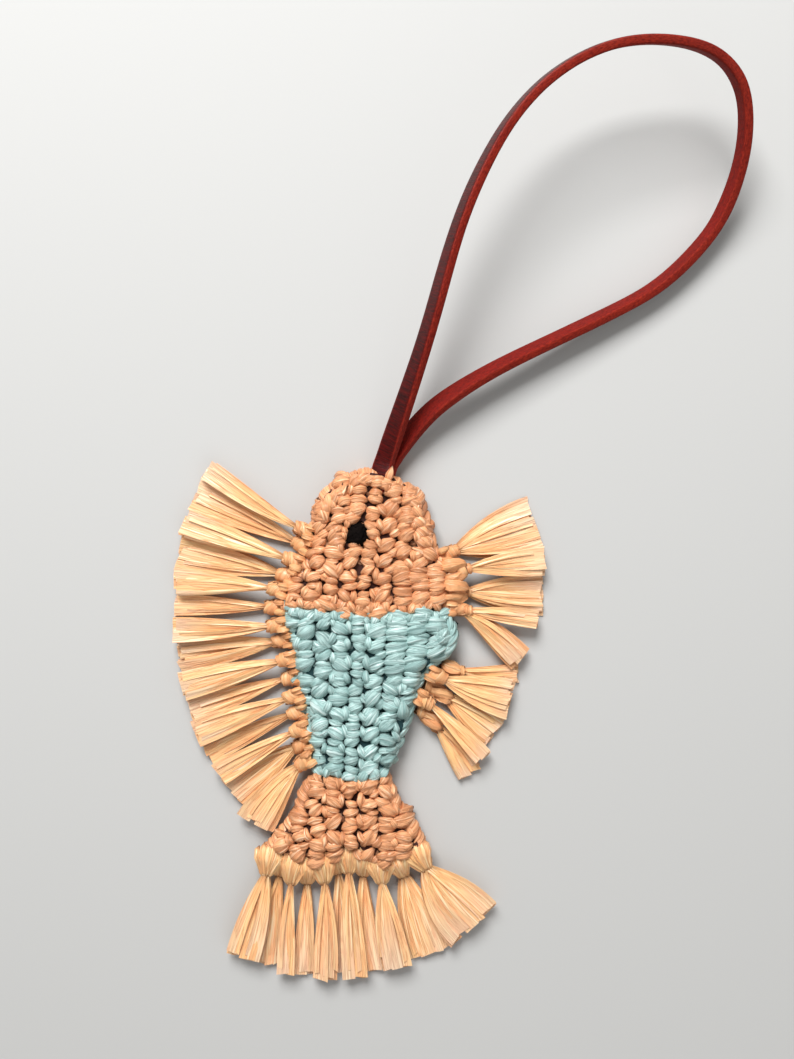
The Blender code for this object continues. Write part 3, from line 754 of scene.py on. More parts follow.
# %% Outline of the panels
NECK_LEFT, NECK_RIGHT = (-19.8, 29.2), (21.4, 28.0)
WAIST_LEFT, WAIST_RIGHT = (-11.6, -11.6), (6.9, -11.8)
HEAD_LEFT = [(-4.6, 61.4), (-10.0, 57.3), (-12.7, 51.6), (-12.1, 46.2), (-14.9, 40.3),
             (-17.6, 34.4), NECK_LEFT]
HEAD_RIGHT = [(9.2, 60.4), (15.0, 56.9), (16.9, 51.0), (18.9, 44.0), (22.0, 36.4), NECK_RIGHT]
BODY_LEFT = [NECK_LEFT, (-18.3, 22.0), (-16.5, 14.5), (-14.8, 6.5), (-13.2, -2.5), WAIST_LEFT]
BODY_RIGHT = [NECK_RIGHT, (23.9, 22.6), (21.8, 16.9), (16.8, 12.2), (13.6, 5.6), (11.9, -1.5),
              WAIST_RIGHT]
TAIL_LEFT = [WAIST_LEFT, (-15.2, -15.8), (-17.4, -21.8), (-23.0, -29.0), (-23.8, -31.4),
             (-22.8, -33.6)]
TAIL_RIGHT = [WAIST_RIGHT, (9.8, -18.7), (13.9, -24.6), (16.0, -29.2), (15.7, -32.2)]
SPINE = [(4.4, 63.0), (2.0, 42.0), (-0.3, 26.0), (-1.0, 9.0), (-2.4, -10.0), (-2.3, -40.0)]
NOSE_BOW, NECK_BOW, WAIST_BOW, TAIL_LOBE = 2.0, -1.4, -1.6, 3.0
SEAM_STEPS = 24


def arc(bow):
    return lambda u: bow * (1 - (2 * u - 1) ** 2)


def lobes(depth):
    return lambda u: -depth * np.sin(math.tau * u) ** 2


def end_line(left, right, bow_line):
    """The line across the fish from one edge to the other, bowed."""
    left, right = np.array([*left, 0.0]), np.array([*right, 0.0])
    shares = np.linspace(0, 1, SEAM_STEPS + 1)
    points = left + (right - left) * shares[:, None]
    points[:, 1] += bow_line(shares)
    return Line(points)


spine = edge_line(SPINE)
nose_line = end_line(HEAD_LEFT[0], HEAD_RIGHT[0], arc(NOSE_BOW))
neck_line = end_line(NECK_LEFT, NECK_RIGHT, arc(NECK_BOW))
waist_line = end_line(WAIST_LEFT, WAIST_RIGHT, arc(WAIST_BOW))
hem_line = end_line(TAIL_LEFT[-1], TAIL_RIGHT[-1], lobes(TAIL_LOBE))
print("seam lengths:", [round(line.length, 1) for line in (neck_line, waist_line, hem_line)])

# %% [markdown]
# Crochet has no flat plane: the fabric is thick in the middle and rounds off towards its free
# edges, while it goes on at full thickness past a seam. A Panel knows both. It tells how far
# inside its free edge a place is, and from that how high the fabric stands there, so every
# stitch can be laid on the fabric by its place alone.

# %% Thickness of the panels
FABRIC_THICKNESS, EDGE_HEIGHT, EDGE_ROUNDING = 9.0, 3.6, 4.5
SEAM_OVERHANG = 0.9             # how far past a seam a stitch may stand


class Panel:
    """One crocheted panel: its two edges, and the lines that close it above and below."""

    def __init__(self, left, right, top, bottom, free_top=False, free_bottom=False):
        self.left, self.right = edge_line(left), edge_line(right)
        self.top, self.bottom = top, bottom
        free = [self.left.points, self.right.points]
        free += [top.points] if free_top else []
        free += [bottom.points] if free_bottom else []
        self.rim = np.vstack(free)[:, :2]

    def depth(self, x, y):
        """How far inside its free edge a point lies, and below 0 where it lies outside."""
        away = np.min(np.hypot(self.rim[:, 0] - x, self.rim[:, 1] - y))
        inside = self.left.x_at(y) < x < self.right.x_at(y)
        above = np.interp(x, self.top.points[:, 0], self.top.points[:, 1])
        below = np.interp(x, self.bottom.points[:, 0], self.bottom.points[:, 1])
        return away if inside and below - SEAM_OVERHANG < y < above + SEAM_OVERHANG else -away

    def crown(self, x, y):
        """Height of the fabric's top at a place."""
        inside = min(max(self.depth(x, y), 0.0) / EDGE_ROUNDING, 1.0)
        return EDGE_HEIGHT + (FABRIC_THICKNESS - EDGE_HEIGHT) * math.sqrt(1 - (1 - inside) ** 2)


HEAD = Panel(HEAD_LEFT, HEAD_RIGHT, nose_line, neck_line, free_top=True)
BODY = Panel(BODY_LEFT, BODY_RIGHT, neck_line, waist_line)
TAIL = Panel(TAIL_LEFT, TAIL_RIGHT, waist_line, hem_line, free_bottom=True)
print("edge lengths:", [round(panel.left.length, 1) for panel in (HEAD, BODY, TAIL)])

# %% [markdown]
# A stitch is a few strokes: a fat leaf of raffia, and often a thin one that crosses beside it.
# Each stroke is written as its width, how far it rises out of the fabric, and the three places
# that it runs through, in millimetres from the middle of the stitch. The columns differ as they
# do in real crochet: beads down the spine, V shapes to its right, curled puffs to its left, and
# slanting leaves further out. Each column picks at random among the few kinds that it may have.

# %% Kinds of stitch
BEAD = [(2.8, 0.5, [(-2.0, -0.4), (0.0, 0.3), (2.0, 0.3)])]
THIN_BEAD = [(2.4, 0.4, [(-1.9, 0.4), (0.0, -0.1), (1.8, -0.3)])]
VEE = [(3.5, 0.2, [(-2.6, -1.7), (0.2, 0.3), (2.6, 1.2)]),
       (1.9, 0.2, [(-2.4, 2.6), (-2.0, 0.6), (-1.0, -1.4)]),
       (2.0, -0.3, [(-0.4, -2.4), (1.3, -1.9), (2.8, -0.9)])]
OVAL = [(3.3, 0.1, [(-2.5, 1.2), (0.1, 0.4), (2.4, -1.1)]),
        (2.0, -0.1, [(-2.3, -1.4), (0.0, -2.0), (2.3, -2.0)]),
        (1.7, 0.0, [(1.3, 2.6), (2.2, 0.9), (2.4, -1.1)])]
LONG_LEAF = [(3.0, 0.1, [(-3.2, -1.0), (0.0, 0.0), (3.1, 1.0)]),
             (2.0, 0.0, [(-2.6, 1.4), (0.0, 1.9), (2.5, 2.3)])]
LEAF = [(3.3, 0.1, [(-2.3, -1.2), (0.0, 0.3), (2.4, 1.0)]),
        (2.0, -0.1, [(-2.6, 1.4), (-0.4, 2.1), (1.8, 1.9)]),
        (1.6, -0.1, [(1.8, -2.6), (2.2, -0.9), (1.8, 0.8)])]
PUFF = [(3.4, 0.3, [(-1.4, -1.1), (0.6, 0.1), (2.6, -0.3)]),
        (2.1, 0.1, [(2.2, 1.7), (0.2, 2.3), (-1.9, 1.6)]),
        (1.9, 0.0, [(-2.2, 1.2), (-2.5, -0.4), (-1.3, -2.1)]),
        (1.9, -0.2, [(-0.8, -2.2), (0.9, -2.3), (2.6, -1.9)])]
BALL = [(3.6, 0.1, [(-2.7, -1.0), (-0.1, 0.1), (2.6, 0.8)]),
        (2.1, -0.1, [(-2.2, 1.8), (0.0, 2.2), (2.4, 1.8)])]
SEAM_LEAVES = [(2.0, 0.0, [(-2.0, 2.1), (-1.3, 0.9), (-0.2, -0.9)]),
               (2.0, 0.1, [(0.1, -0.9), (0.9, 0.6), (2.0, 2.0)])]


def mirrored(strokes):
    return [(width, rise, [(-x, y) for x, y in places]) for width, rise, places in strokes]


SPINE_COLUMN = 0
STYLES = {
    -6: [LEAF, BALL], -5: [BALL, LEAF], -4: [LONG_LEAF, BALL, mirrored(LEAF)],
    -3: [BALL, PUFF, mirrored(OVAL)], -2: [PUFF, LEAF, mirrored(VEE)], -1: [LEAF, BALL, OVAL],
    SPINE_COLUMN: [BEAD], 1: [VEE], 2: [OVAL, LEAF], 3: [LONG_LEAF, OVAL],
    4: [OVAL, LEAF, BALL], 5: [LEAF, LONG_LEAF], 6: [BALL],
}
print("kinds in each column:", {column: len(kinds) for column, kinds in STYLES.items()})

# %% [markdown]
# A stroke starts and ends deep in the fabric and rises over its top in between, which makes the
# plump bulge, with painted shade at both ends where they dive in. No two stitches of one hand are
# the same, so each one gets a small random shift, turn and size.

# %% Laying a stitch
TUCK = 2.6                      # how far below the fabric's top a strand's ends are tucked
PLUMPNESS = 0.86                # a strand's height as a share of its width
LEAF_FULL = 1.08                # a pointed leaf is this much wider than a blunt one
LOWEST_STROKE = 1.2
PLACE_JITTER, TURN_JITTER, SIZE_JITTER = 0.35, 22.0, 0.12


def turned(x, y, angle):
    return x * math.cos(angle) - y * math.sin(angle), x * math.sin(angle) + y * math.cos(angle)


def lay_stroke(bm, panel, place, stroke, size, turn):
    """One stroke of a stitch, from one tucked end over the top of the fabric to the other."""
    width, rise, places = stroke
    height = width * size * PLUMPNESS
    points = []
    for k, (x, y) in enumerate(places):
        x, y = turned(x * size, y * size, turn)
        x, y = x + place[0], y + place[1]
        low = TUCK if k in (0, len(places) - 1) else height / 2 - rise
        points.append((x, y, max(panel.crown(x, y) - low, LOWEST_STROKE)))
    lay_strand(bm, points, width * size * LEAF_FULL, height, fullness=chance.uniform(0.6, 0.95),
               lean=chance.uniform(0.8, 1.2),
               twist=chance.choice((-1, 1)) * chance.uniform(0.8, 2.6))


def lay_stitch(bm, panel, x, y, strokes, size=1.0):
    place = (x + chance.uniform(-1, 1) * PLACE_JITTER, y + chance.uniform(-1, 1) * PLACE_JITTER)
    turn = math.radians(chance.uniform(-1, 1) * TURN_JITTER)
    for stroke in strokes:
        stroke_size = size * (1 + chance.uniform(-1, 1) * SIZE_JITTER)
        lay_stroke(bm, panel, place, stroke, stroke_size, turn)


print("top of the fabric beside the eye in mm:", round(HEAD.crown(*EYE_CENTRE[:2]), 2))

# %% [markdown]
# The stitches sit in columns along the spine and in rows across it, and every other column is
# shifted by half a row, on the same places as the bumps of the solids. Under them lies a layer
# of plain strands painted dark as shade, which shows in the gaps and keeps them from looking
# hollow. A seam between two colours has a row of its own, of pairs of leaves that meet in a point.

# %% Filling a panel
COLUMN, ROW = 4.2, 4.2
STITCH_ROWS, GAP_ROWS = range(-12, 17), range(-24, 34)      # from below the hem to past the nose
GAP_RIM = 1.8                   # no under layer lies nearer to a free edge than this
GAP_DROP, GAP_TUCK, GAP_REACH = 3.0, 0.8, 2.0
GAP_WIDTH, GAP_HEIGHT, GAP_LIFT = 1.9, 1.6, 0.4


def grid(rows):
    """Every column with the height of each of its rows, half a row lower in every other one."""
    for column in sorted(STYLES):
        for row in rows:
            yield column, ROW * (row - 0.5 * (column % 2))


def stitches(bm, panel, band):
    """All the stitches of a panel. band gives the width of the bound edge at a place."""
    count = 0
    for column, height in grid(STITCH_ROWS):
        if column == SPINE_COLUMN:
            pair = ((height, BEAD), (height + ROW / 2, THIN_BEAD))
        else:
            pair = ((height, chance.choice(STYLES[column])),)
        for y, style in pair:
            x = spine.x_at(y) + column * COLUMN
            if panel.depth(x, y) >= band(x, y):
                lay_stitch(bm, panel, x, y, style)
                count += 1
    return count


def under_layer(bm, panel):
    """Plain strands in the gaps between the stitches, deep in their shade."""
    for column in sorted(STYLES):
        for row in GAP_ROWS:
            y = ROW / 2 * row
            x = spine.x_at(y) + (column + 0.5 * (row % 2)) * COLUMN
            if panel.depth(x, y) < GAP_RIM:
                continue
            lean, z = chance.uniform(-1.2, 1.2), panel.crown(x, y) - GAP_DROP
            points = [(x - GAP_REACH, y - lean, z - GAP_TUCK), (x, y, z),
                      (x + GAP_REACH, y + lean, z - GAP_TUCK)]
            # A low lift and a low tone paint these strands in shade.
            lay_strand(bm, points, GAP_WIDTH, GAP_HEIGHT, sunk=GAP_LIFT, tone=chance.uniform(-1, 0))


def seam_row(bm, panel, line, drop):
    """Pairs of leaves along a seam between two colours."""
    count = round(line.length / COLUMN)
    for k in range(count):
        spot = line.at((k + 0.5) * line.length / count)
        lay_stitch(bm, panel, spot[0], spot[1] + drop, SEAM_LEAVES)


print("columns:", len(STYLES), "rows:", len(STITCH_ROWS))

# %% [markdown]
# The edges are bound with raffia. Along the nose and the left side each turn of the binding goes
# over the edge and dives into the fabric, and along the right side it lies as a twisted rope.
# Each turn is bent by a row of steps: how far into the fabric, along the edge and up it goes.

# %% Bound edges
ROPE_BEND = ((-0.5, 0.7, 2.6), (-0.2, 1.0, 1.2), (0.2, 2.2, 0.5), (0.5, 3.8, 1.6))
INNER_LEAF = (2.7, 0.2, [(-2.3, -0.4), (0.0, 0.3), (2.3, 0.2)])


def bound_edge(bm, line, start, end, pitch, inward, reach=4.6, slant=0.6, thickness=1.7,
               top=6.6, spread=1.3):
    """Turns of raffia over an edge. inward is +1 or -1: which side of the line the fabric lies."""
    turns = max(int(abs(end - start) / pitch), 1)
    for turn in range(turns + 1):
        distance = start + (end - start) * turn / turns + chance.uniform(-0.15, 0.15)
        spot, along = line.at(distance), line.heading(distance)
        slide = along * slant * chance.uniform(0.4, 1.4)
        rise = chance.uniform(-0.3, 0.3)
        points = bent(spot, beside(along, -inward), slide, (
            (2.4, -1.0, 0.9), (0.75, -0.6, 2.2), (1.0, 0.0, 4.6 + rise),
            (2.3, 0.4, top - 0.5 + rise), (reach, 1.0, top - 1.8)))
        lay_strand(bm, points, pitch * spread * chance.uniform(0.9, 1.12), thickness, side=along,
                   fullness=0.38, twist=chance.uniform(-0.5, 0.5))


def roped_edge(bm, line, start, end, inward, pitch=2.5, length=6.0, width=2.3, top=5.7):
    """Long slanting strands along an edge, like the plies of a rope."""
    count = int(abs(end - start) / pitch)
    for k in range(count + 1):
        distance = start + (end - start) * k / count
        points = []
        for share, depth, low in ROPE_BEND:
            reach = min(max(distance + share * length, 0), line.length)
            spot, into = line.at(reach), beside(line.heading(reach), -inward)
            points.append(spot + into * depth + UP * (top - low + chance.uniform(-0.2, 0.2)))
        lay_strand(bm, points, width * chance.uniform(0.85, 1.15), width * 1.05, fullness=0.42)


def inner_leaves(bm, panel, line, first, last, depth, inward, pitch=2.5, lean=0.5):
    """A row of leaves along an edge, at one depth inside it, behind its binding."""
    for distance in np.arange(first, last, pitch):
        spot, along = line.at(distance), line.heading(distance)
        place = spot + beside(along, -inward) * depth
        turn = math.atan2(along[1], along[0]) + lean * chance.uniform(0.6, 1.4)
        lay_stroke(bm, panel, place, INNER_LEAF, chance.uniform(0.9, 1.1), turn)


print("edge of the nose in mm:", round(nose_line.length, 1))

# %% [markdown]
# The head has plump turns of binding round the nose, three large fans at its upper right, a rope
# down the right side, balls and leaves on the left, and long leaves in rows at the lower right.
# A gap is left for the eye. It is built in layers from the inside out, as each layer hides the
# ends of the one below.

# %% Head
EYE_CLEARANCE = 2.8
NOWHERE = 99.0                  # a band so wide that no stitch is placed
HEAD_ROWS_LEFT, HEAD_ROWS_TOP = 8.0, 37.4       # the long rows fill the corner below and right
LONG_PITCH, LONG_WIDTH, THIN_WIDTH = 2.9, 3.0, 1.8
HEAD_EXTRAS = ((-2.2, 50.4, BALL), (-1.5, 41.9, BALL), (-6.0, 47.6, LEAF), (-5.6, 44.4, BALL))
NOSE_TIP_LEAF = [(6.0, 58.6, 6.4), (6.9, 60.6, 7.9), (7.7, 63.2, 7.4)]


def head_band(x, y):
    near_eye = math.hypot(x - EYE_CENTRE[0], y - EYE_CENTRE[1]) < EYE_CLEARANCE
    if near_eye or (x > HEAD_ROWS_LEFT and y < HEAD_ROWS_TOP):
        return NOWHERE
    return 2.1 if y > 50 else 1.7


def long_rows(bm, panel, x_start, y_first, rows, length, rise):
    """Long leaves side by side in rows that climb a little to the right."""
    half = length / 2
    for row in range(rows):
        y = y_first - row * LONG_PITCH
        x = x_start + chance.uniform(-0.4, 0.4)
        while x + length * 0.6 < panel.right.x_at(y) - 0.6:
            place = (x + half, y + (x - x_start) * rise / length * 0.6)
            lean = math.radians(chance.uniform(-12, 16))
            bow = chance.uniform(-0.6, 0.6)
            leaf = (LONG_WIDTH, 0.3, [(-half, -rise / 2), (0.0, bow), (half, rise / 2)])
            thin = (THIN_WIDTH, 0.1, [(-half, 1.05), (0.2, 1.8), (half, 1.2)])
            for strand in (leaf, thin):
                lay_stroke(bm, panel, place, strand, 1 + chance.uniform(-0.08, 0.08), lean)
            x += length * chance.uniform(0.62, 0.78)


def head_stitches():
    bm = bmesh.new()
    under_layer(bm, HEAD)
    print("head stitches:", stitches(bm, HEAD, head_band))
    for x, y, style in HEAD_EXTRAS:
        lay_stitch(bm, HEAD, x, y, style, 0.85)
    seam_row(bm, HEAD, neck_line, 0.6)
    long_rows(bm, HEAD, 7.2, 36.0, rows=3, length=5.9, rise=0.8)
    left, right = HEAD.left, HEAD.right
    bound_edge(bm, left, 15.5, 0.0, pitch=1.9, inward=-1)
    bound_edge(bm, nose_line, 0.5, nose_line.length - 0.5, pitch=1.9, inward=1)
    inner_leaves(bm, HEAD, left, 3.0, 14.0, depth=3.6, inward=-1)
    inner_leaves(bm, HEAD, nose_line, 2.5, nose_line.length - 2.0, depth=3.4, inward=1)
    bound_edge(bm, left, left.length - 0.5, 17.0, pitch=2.6, inward=-1, thickness=1.9, top=6.2)
    bound_edge(bm, right, 0.3, 7.2, pitch=3.1, inward=1, reach=5.8, thickness=2.4, slant=1.2,
               top=7.6, spread=1.2)
    roped_edge(bm, right, 8.6, right.length - 1.0, inward=1)
    inner_leaves(bm, HEAD, right, 9.0, 24.0, depth=3.3, inward=1)
    lay_strand(bm, NOSE_TIP_LEAF, 1.9, 0.7, fullness=1.1)
    return finish_piece("head_stitches", bm, TAN, ["fish_head"], ROUNDED_ONCE)


fish = [head_stitches()]
print("head faces:", len(fish[-1].data.polygons))

# %% [markdown]
# The body is the same crochet in aqua. Its upper right has long leaves in rows that end in a
# thick rope, and small loops of aqua poke out between the knots of the back tassels, because the
# raffia goes round the tassels' knots there.

# %% Body
BODY_ROWS_LEFT, BODY_ROWS_LOWEST = 6.0, 12.4    # the long rows fill the corner above and right
BODY_EXTRAS = ((-16.1, 25.4, BALL), (8.6, 10.6, LEAF),
               (9.9, 4.2, [(3.1, 0.5, [(-0.3, -3.2), (0.1, 0.0), (0.4, 3.2)])]))
BODY_LOOPS = (0.5, 41.0, 11)    # the first and the last distance along the left edge, and how many


def body_band(x, y):
    return NOWHERE if x > BODY_ROWS_LEFT and y > BODY_ROWS_LOWEST else 1.9


def small_loops(bm, line, first, last, count, outward):
    """Small loops of the edge that poke out between the tassel knots."""
    for k in range(count - 1):
        distance = first + (last - first) * (k + 0.5) / (count - 1) + chance.uniform(-0.4, 0.4)
        spot, along = line.at(distance), line.heading(distance)
        reach, height = chance.uniform(0.9, 2.0), chance.uniform(2.6, 4.4)
        points = bent(spot, beside(along, outward), along, (
            (-2.0, -0.9, height + 1.2), (reach, 0.0, height), (-1.6, 1.0, height + 0.6)))
        lay_strand(bm, points, 1.5, 1.2, fullness=0.45)


def body_stitches():
    bm = bmesh.new()
    under_layer(bm, BODY)
    print("body stitches:", stitches(bm, BODY, body_band))
    left, right = BODY.left, BODY.right
    seam_row(bm, BODY, waist_line, 0.5)
    seam_row(bm, BODY, neck_line, -1.9)
    long_rows(bm, BODY, 5.0, 25.4, rows=5, length=7.2, rise=1.8)
    bound_edge(bm, left, left.length, 0.0, pitch=2.8, inward=-1, reach=4.4, thickness=1.9,
               spread=1.15)
    roped_edge(bm, right, 3.0, 14.0, inward=1, pitch=2.6, length=7.4, width=2.7, top=6.6)
    inner_leaves(bm, BODY, right, 2.0, 14.0, depth=4.6, inward=1, pitch=2.4, lean=-0.8)
    roped_edge(bm, right, 14.0, right.length - 0.5, inward=1, pitch=2.8)
    small_loops(bm, left, *BODY_LOOPS, outward=-1)
    for x, y, style in BODY_EXTRAS:
        lay_stitch(bm, BODY, x, y, style, 0.95)
    return finish_piece("body_stitches", bm, AQUA, ["fish_body"], ROUNDED_ONCE)


fish.append(body_stitches())
print("body faces:", len(fish[-1].data.polygons))

# %% [markdown]
# The tail is tan again, and looser than the head: the fabric gapes in two places below the
# waist. Both its sides are bound with turns that lean strongly, and its hem has no binding,
# because the tassels' own knots close it.

# %% Tail
TAIL_GAPS = ((-5.5, -13.9), (-5.4, -19.0))
TAIL_GAP_RADIUS = 1.2


def tail_band(x, y):
    gapes = any(math.hypot(x - gap_x, y - gap_y) < TAIL_GAP_RADIUS for gap_x, gap_y in TAIL_GAPS)
    return NOWHERE if gapes else 1.7


def tail_stitches():
    bm = bmesh.new()
    under_layer(bm, TAIL)
    print("tail stitches:", stitches(bm, TAIL, tail_band))
    left, right = TAIL.left, TAIL.right
    seam_row(bm, TAIL, waist_line, -1.8)
    bound_edge(bm, left, left.length, 0.0, pitch=2.3, inward=-1, reach=4.2, slant=1.3,
               thickness=2.0)
    bound_edge(bm, right, 0.0, right.length, pitch=2.4, inward=1, reach=4.4, slant=1.5,
               thickness=2.1)
    return finish_piece("tail_stitches", bm, TAN, ["fish_tail"], ROUNDED_ONCE)


fish.append(tail_stitches())
print("tail faces:", len(fish[-1].data.polygons))

# %% [markdown]
# Behind the stitches lies a dark core, painted as the shade deep in the fabric, which shows only
# in the gaps. It is a copy of the panel's solid, drawn in by a millimetre or so. The back of the
# fish rests on the table, so its stitches are pressed flat there. They slant one way and the other
# from column to column and overlap, which closes the fabric, and they are shorter beside an edge.

# %% Back of the panels
CORE_INSET, CORE_LOWEST, CORE_WELD = 1.1, 0.5, 0.02
CORE_LIFT = 0.42                # the core's underside is less deep in the shade than its top
BACK_WIDTH, BACK_HEIGHT, BACK_REACH = 4.3, 1.7, 3.5
BACK_SLANT, BACK_TUCK, BACK_CLEARANCE = 1.2, 0.5, 0.08
BACK_RIM = 1.6                  # the rim of the fabric, which only the binding covers
BACK_ROWS = range(-12, 18)


def painted_shade_core(bm, node):
    """A drawn-in copy of a panel's solid, painted dark as the shade in the gaps."""
    core = bmesh.new()
    core.from_mesh(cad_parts[node].data)
    bmesh.ops.remove_doubles(core, verts=core.verts, dist=CORE_WELD * MM)
    core.normal_update()
    for vert in core.verts:
        place = (np.array(vert.co) - SHIFT) / MM - np.array(vert.normal) * CORE_INSET
        place[2] = max(place[2], CORE_LOWEST)
        vert.co = place
    mesh = mesh_of("core", core)
    add_attributes(mesh)
    # Painted shade: a lift of 0 gives the top the gap shade colour, and the underside a lighter
    # one.
    for vert, lift in zip(mesh.vertices, mesh.attributes["lift"].data):
        lift.value = CORE_LIFT if vert.co.z < EDGE_HEIGHT / 2 else 0.0
    bm.from_mesh(mesh)


def underside(bm, panel):
    """Stitches pressed flat against the table."""
    z = BACK_HEIGHT / 2 + BACK_CLEARANCE
    for column, y in grid(BACK_ROWS):
        x = spine.x_at(y) + column * COLUMN
        inside = panel.depth(x, y)
        if inside < BACK_RIM:
            continue
        reach = min(BACK_REACH, inside + 0.5)
        width = min(BACK_WIDTH, 2 * inside + 0.3)
        lean = BACK_SLANT if column % 2 else -BACK_SLANT
        points = [(x - reach, y - lean, z + BACK_TUCK), (x, y + chance.uniform(-0.3, 0.3), z),
                  (x + reach, y + lean, z + BACK_TUCK)]
        lay_strand(bm, points, width, BACK_HEIGHT, fullness=0.5)


for part, panel, finish, slot in (("head", HEAD, TAN, "tan_raffia"),
                                  ("body", BODY, AQUA, "aqua_raffia"),
                                  ("tail", TAIL, TAN, "tan_raffia")):
    layer = bmesh.new()
    painted_shade_core(layer, "fish_" + part)
    underside(layer, panel)
    fish.append(finish_piece(part + "_back", layer, finish, []))
print("faces:", {piece.name: len(piece.data.polygons) for piece in fish})

# %% [markdown]
# A tassel is several ribbons of film, folded over the edge of the fabric and pulled through
# their own loop. The loop shows as a fat knot, and the ribbons leave it as a pleated fan. A
# ribbon could be a plain strip, but it would have no edge to catch the light, so the blank is a
# thin closed slab with a few columns that can be folded.

# %% The ribbon blank
RIBBON_COLUMNS, RIBBON_ROWS = 4, 8


def ribbon_blank():
    bm = bmesh.new()
    bmesh.ops.create_grid(bm, x_segments=RIBBON_COLUMNS, y_segments=RIBBON_ROWS, size=1.0)
    made = bmesh.ops.extrude_face_region(bm, geom=list(bm.faces))["geom"]
    raised = [item for item in made if isinstance(item, bmesh.types.BMVert)]
    bmesh.ops.translate(bm, verts=raised, vec=(0, 0, 1))
    bmesh.ops.recalc_face_normals(bm, faces=bm.faces)
    mesh = mesh_of("ribbon_blank", bm)
    add_attributes(mesh)
    return mesh


RIBBON = ribbon_blank()
slab = np.array([vert.co for vert in RIBBON.vertices])
RIBBON_ACROSS, RIBBON_ALONG, RIBBON_LAYER = slab[:, 0], (slab[:, 1] + 1) / 2, slab[:, 2]
RIBBON_COLUMN = np.round((RIBBON_ACROSS + 1) / 2 * RIBBON_COLUMNS).astype(int)
print("ribbon blank:", len(RIBBON.polygons), "faces")

# %% [markdown]
# The blank is pressed along the tassel's path again and again: narrow and deeply folded at the
# knot, wide and flat at the tip. Film that has been combed out thins towards its end, so from
# some share of its length on it turns paler, and each ribbon does so to its own degree.

# %% Laying a ribbon
RIBBON_THICKNESS = 0.12
RIBBON_FOLD = 0.14              # how deep its pleats are
NECK_RIBBON = 0.6               # a ribbon's width where it is gathered in the neck
KNOT_SHADE = 0.3                # its lift at the knot, where the next ribbons shade it
SHEET_WIDTH = 90                # ribbons are cut from film of this width, each at its own place


def lay_ribbon(bm, path, start, end, places, width, heights, opening, pale_from, roll, tone,
               curl):
    """One ribbon of film along a tassel.

    places: how far to the side it lies at the knot and at the tip. heights: the height of its
    middle at both. opening: how soon it opens, where 1 gives a plain wedge. pale_from: the share
    of its length from which its film thins out. roll: how far it turns on its edge. curl: how
    far its middle arches up.
    """
    skew = chance.uniform(-0.5, 0.5)
    reach = start + (end - start) * RIBBON_ALONG + skew * RIBBON_ACROSS * RIBBON_ALONG
    middle, ahead = path.at(reach), path.heading(reach)
    side = unit(np.cross(ahead, UP))
    opened = 1 - (1 - RIBBON_ALONG) ** opening
    span = (NECK_RIBBON + (width - NECK_RIBBON) * opened) / 2
    folds = np.array([chance.uniform(-1, 1) for _ in range(RIBBON_COLUMNS + 1)])
    depth = RIBBON_FOLD * folds[RIBBON_COLUMN] * (1 - 0.4 * RIBBON_ALONG)
    turn = roll * np.sin(math.pi * (0.15 + 0.6 * RIBBON_ALONG))
    sideways = places[0] + (places[1] - places[0]) * opened + span * RIBBON_ACROSS * np.cos(turn)
    rise = span * RIBBON_ACROSS * np.sin(turn) + depth + RIBBON_THICKNESS * RIBBON_LAYER
    rise = rise + heights[0] + (heights[1] - heights[0]) * RIBBON_ALONG
    rise = rise + curl * np.sin(math.pi * RIBBON_ALONG)
    co = middle * (1, 1, 0) + side * sideways[:, None] + UP * np.maximum(rise, ON_TABLE)[:, None]
    across = span * RIBBON_ACROSS + chance.uniform(0, SHEET_WIDTH)
    grain = np.stack([across, depth, reach + chance.uniform(0, FAR_APART)], -1)
    thinning = np.clip((RIBBON_ALONG - pale_from) / (1 - pale_from), 0, 1)
    thin = chance.uniform(0.0, 1.0) * thinning
    lift = KNOT_SHADE + (1 - KNOT_SHADE) * np.minimum(RIBBON_ALONG * 3.5, 1) + thin
    add_copy(bm, RIBBON, co, grain, tone, lift)


print("points of a ribbon:", len(RIBBON_ALONG))

# %% [markdown]
# The tassels hang in four fringes, in a lower and an upper layer by turns, so that they fit
# side by side. A fringe is given by how far along its edge each knot sits, by the line that its
# tips lie on, and by the share of that line that each tassel takes. The same rule places their
# solids. One tassel in front parts in two bunches, so its share has a bunch, a gap and a bunch.

# %% Where the tassels are
LOWER, UPPER = 0, 1
BACK_FIN = {
    "name": "back_fin", "side": -1, "first_layer": UPPER, "pale_from": 0.62,
    "knots": (17.9, 22.0, 26.3, 30.4, 34.2, 38.1, 42.3, 46.4, 50.9, 55.6, 60.1, 64.3, 68.3,
              72.1, 75.9),
    "tips": [(-36.8, 65.2), (-44.2, 50.0), (-46.8, 29.0), (-45.0, 10.0), (-38.4, -9.0),
             (-23.4, -29.2)],
    "widths": (6, 8, 7, 8, 7, 5, 7, 7, 8, 5, 6, 6, 5, 8, 10),
}
FRONT_FIN = {
    "name": "front_fin", "side": 1, "first_layer": LOWER, "pale_from": 0.5,
    "knots": (23.5, 27.7, 32.5, 36.8),
    "tips": [(41.3, 54.2), (45.3, 42.5), (44.7, 28.5), (38.4, 12.6)],
    "widths": (11.2, 7.6, 8.6, (4.5, 5.0, 6.4)),
}
REAR_FIN = {
    "name": "rear_fin", "side": 1, "first_layer": LOWER, "pale_from": 0.7,
    "knots": (52.2, 55.6, 59.0, 62.4, 65.8),
    "tips": [(39.6, 13.2), (36.0, 2.9), (32.0, -6.4), (25.7, -15.9)],
    "widths": (3.2, 10.0, 8.3, 5.2, 5.7),
}
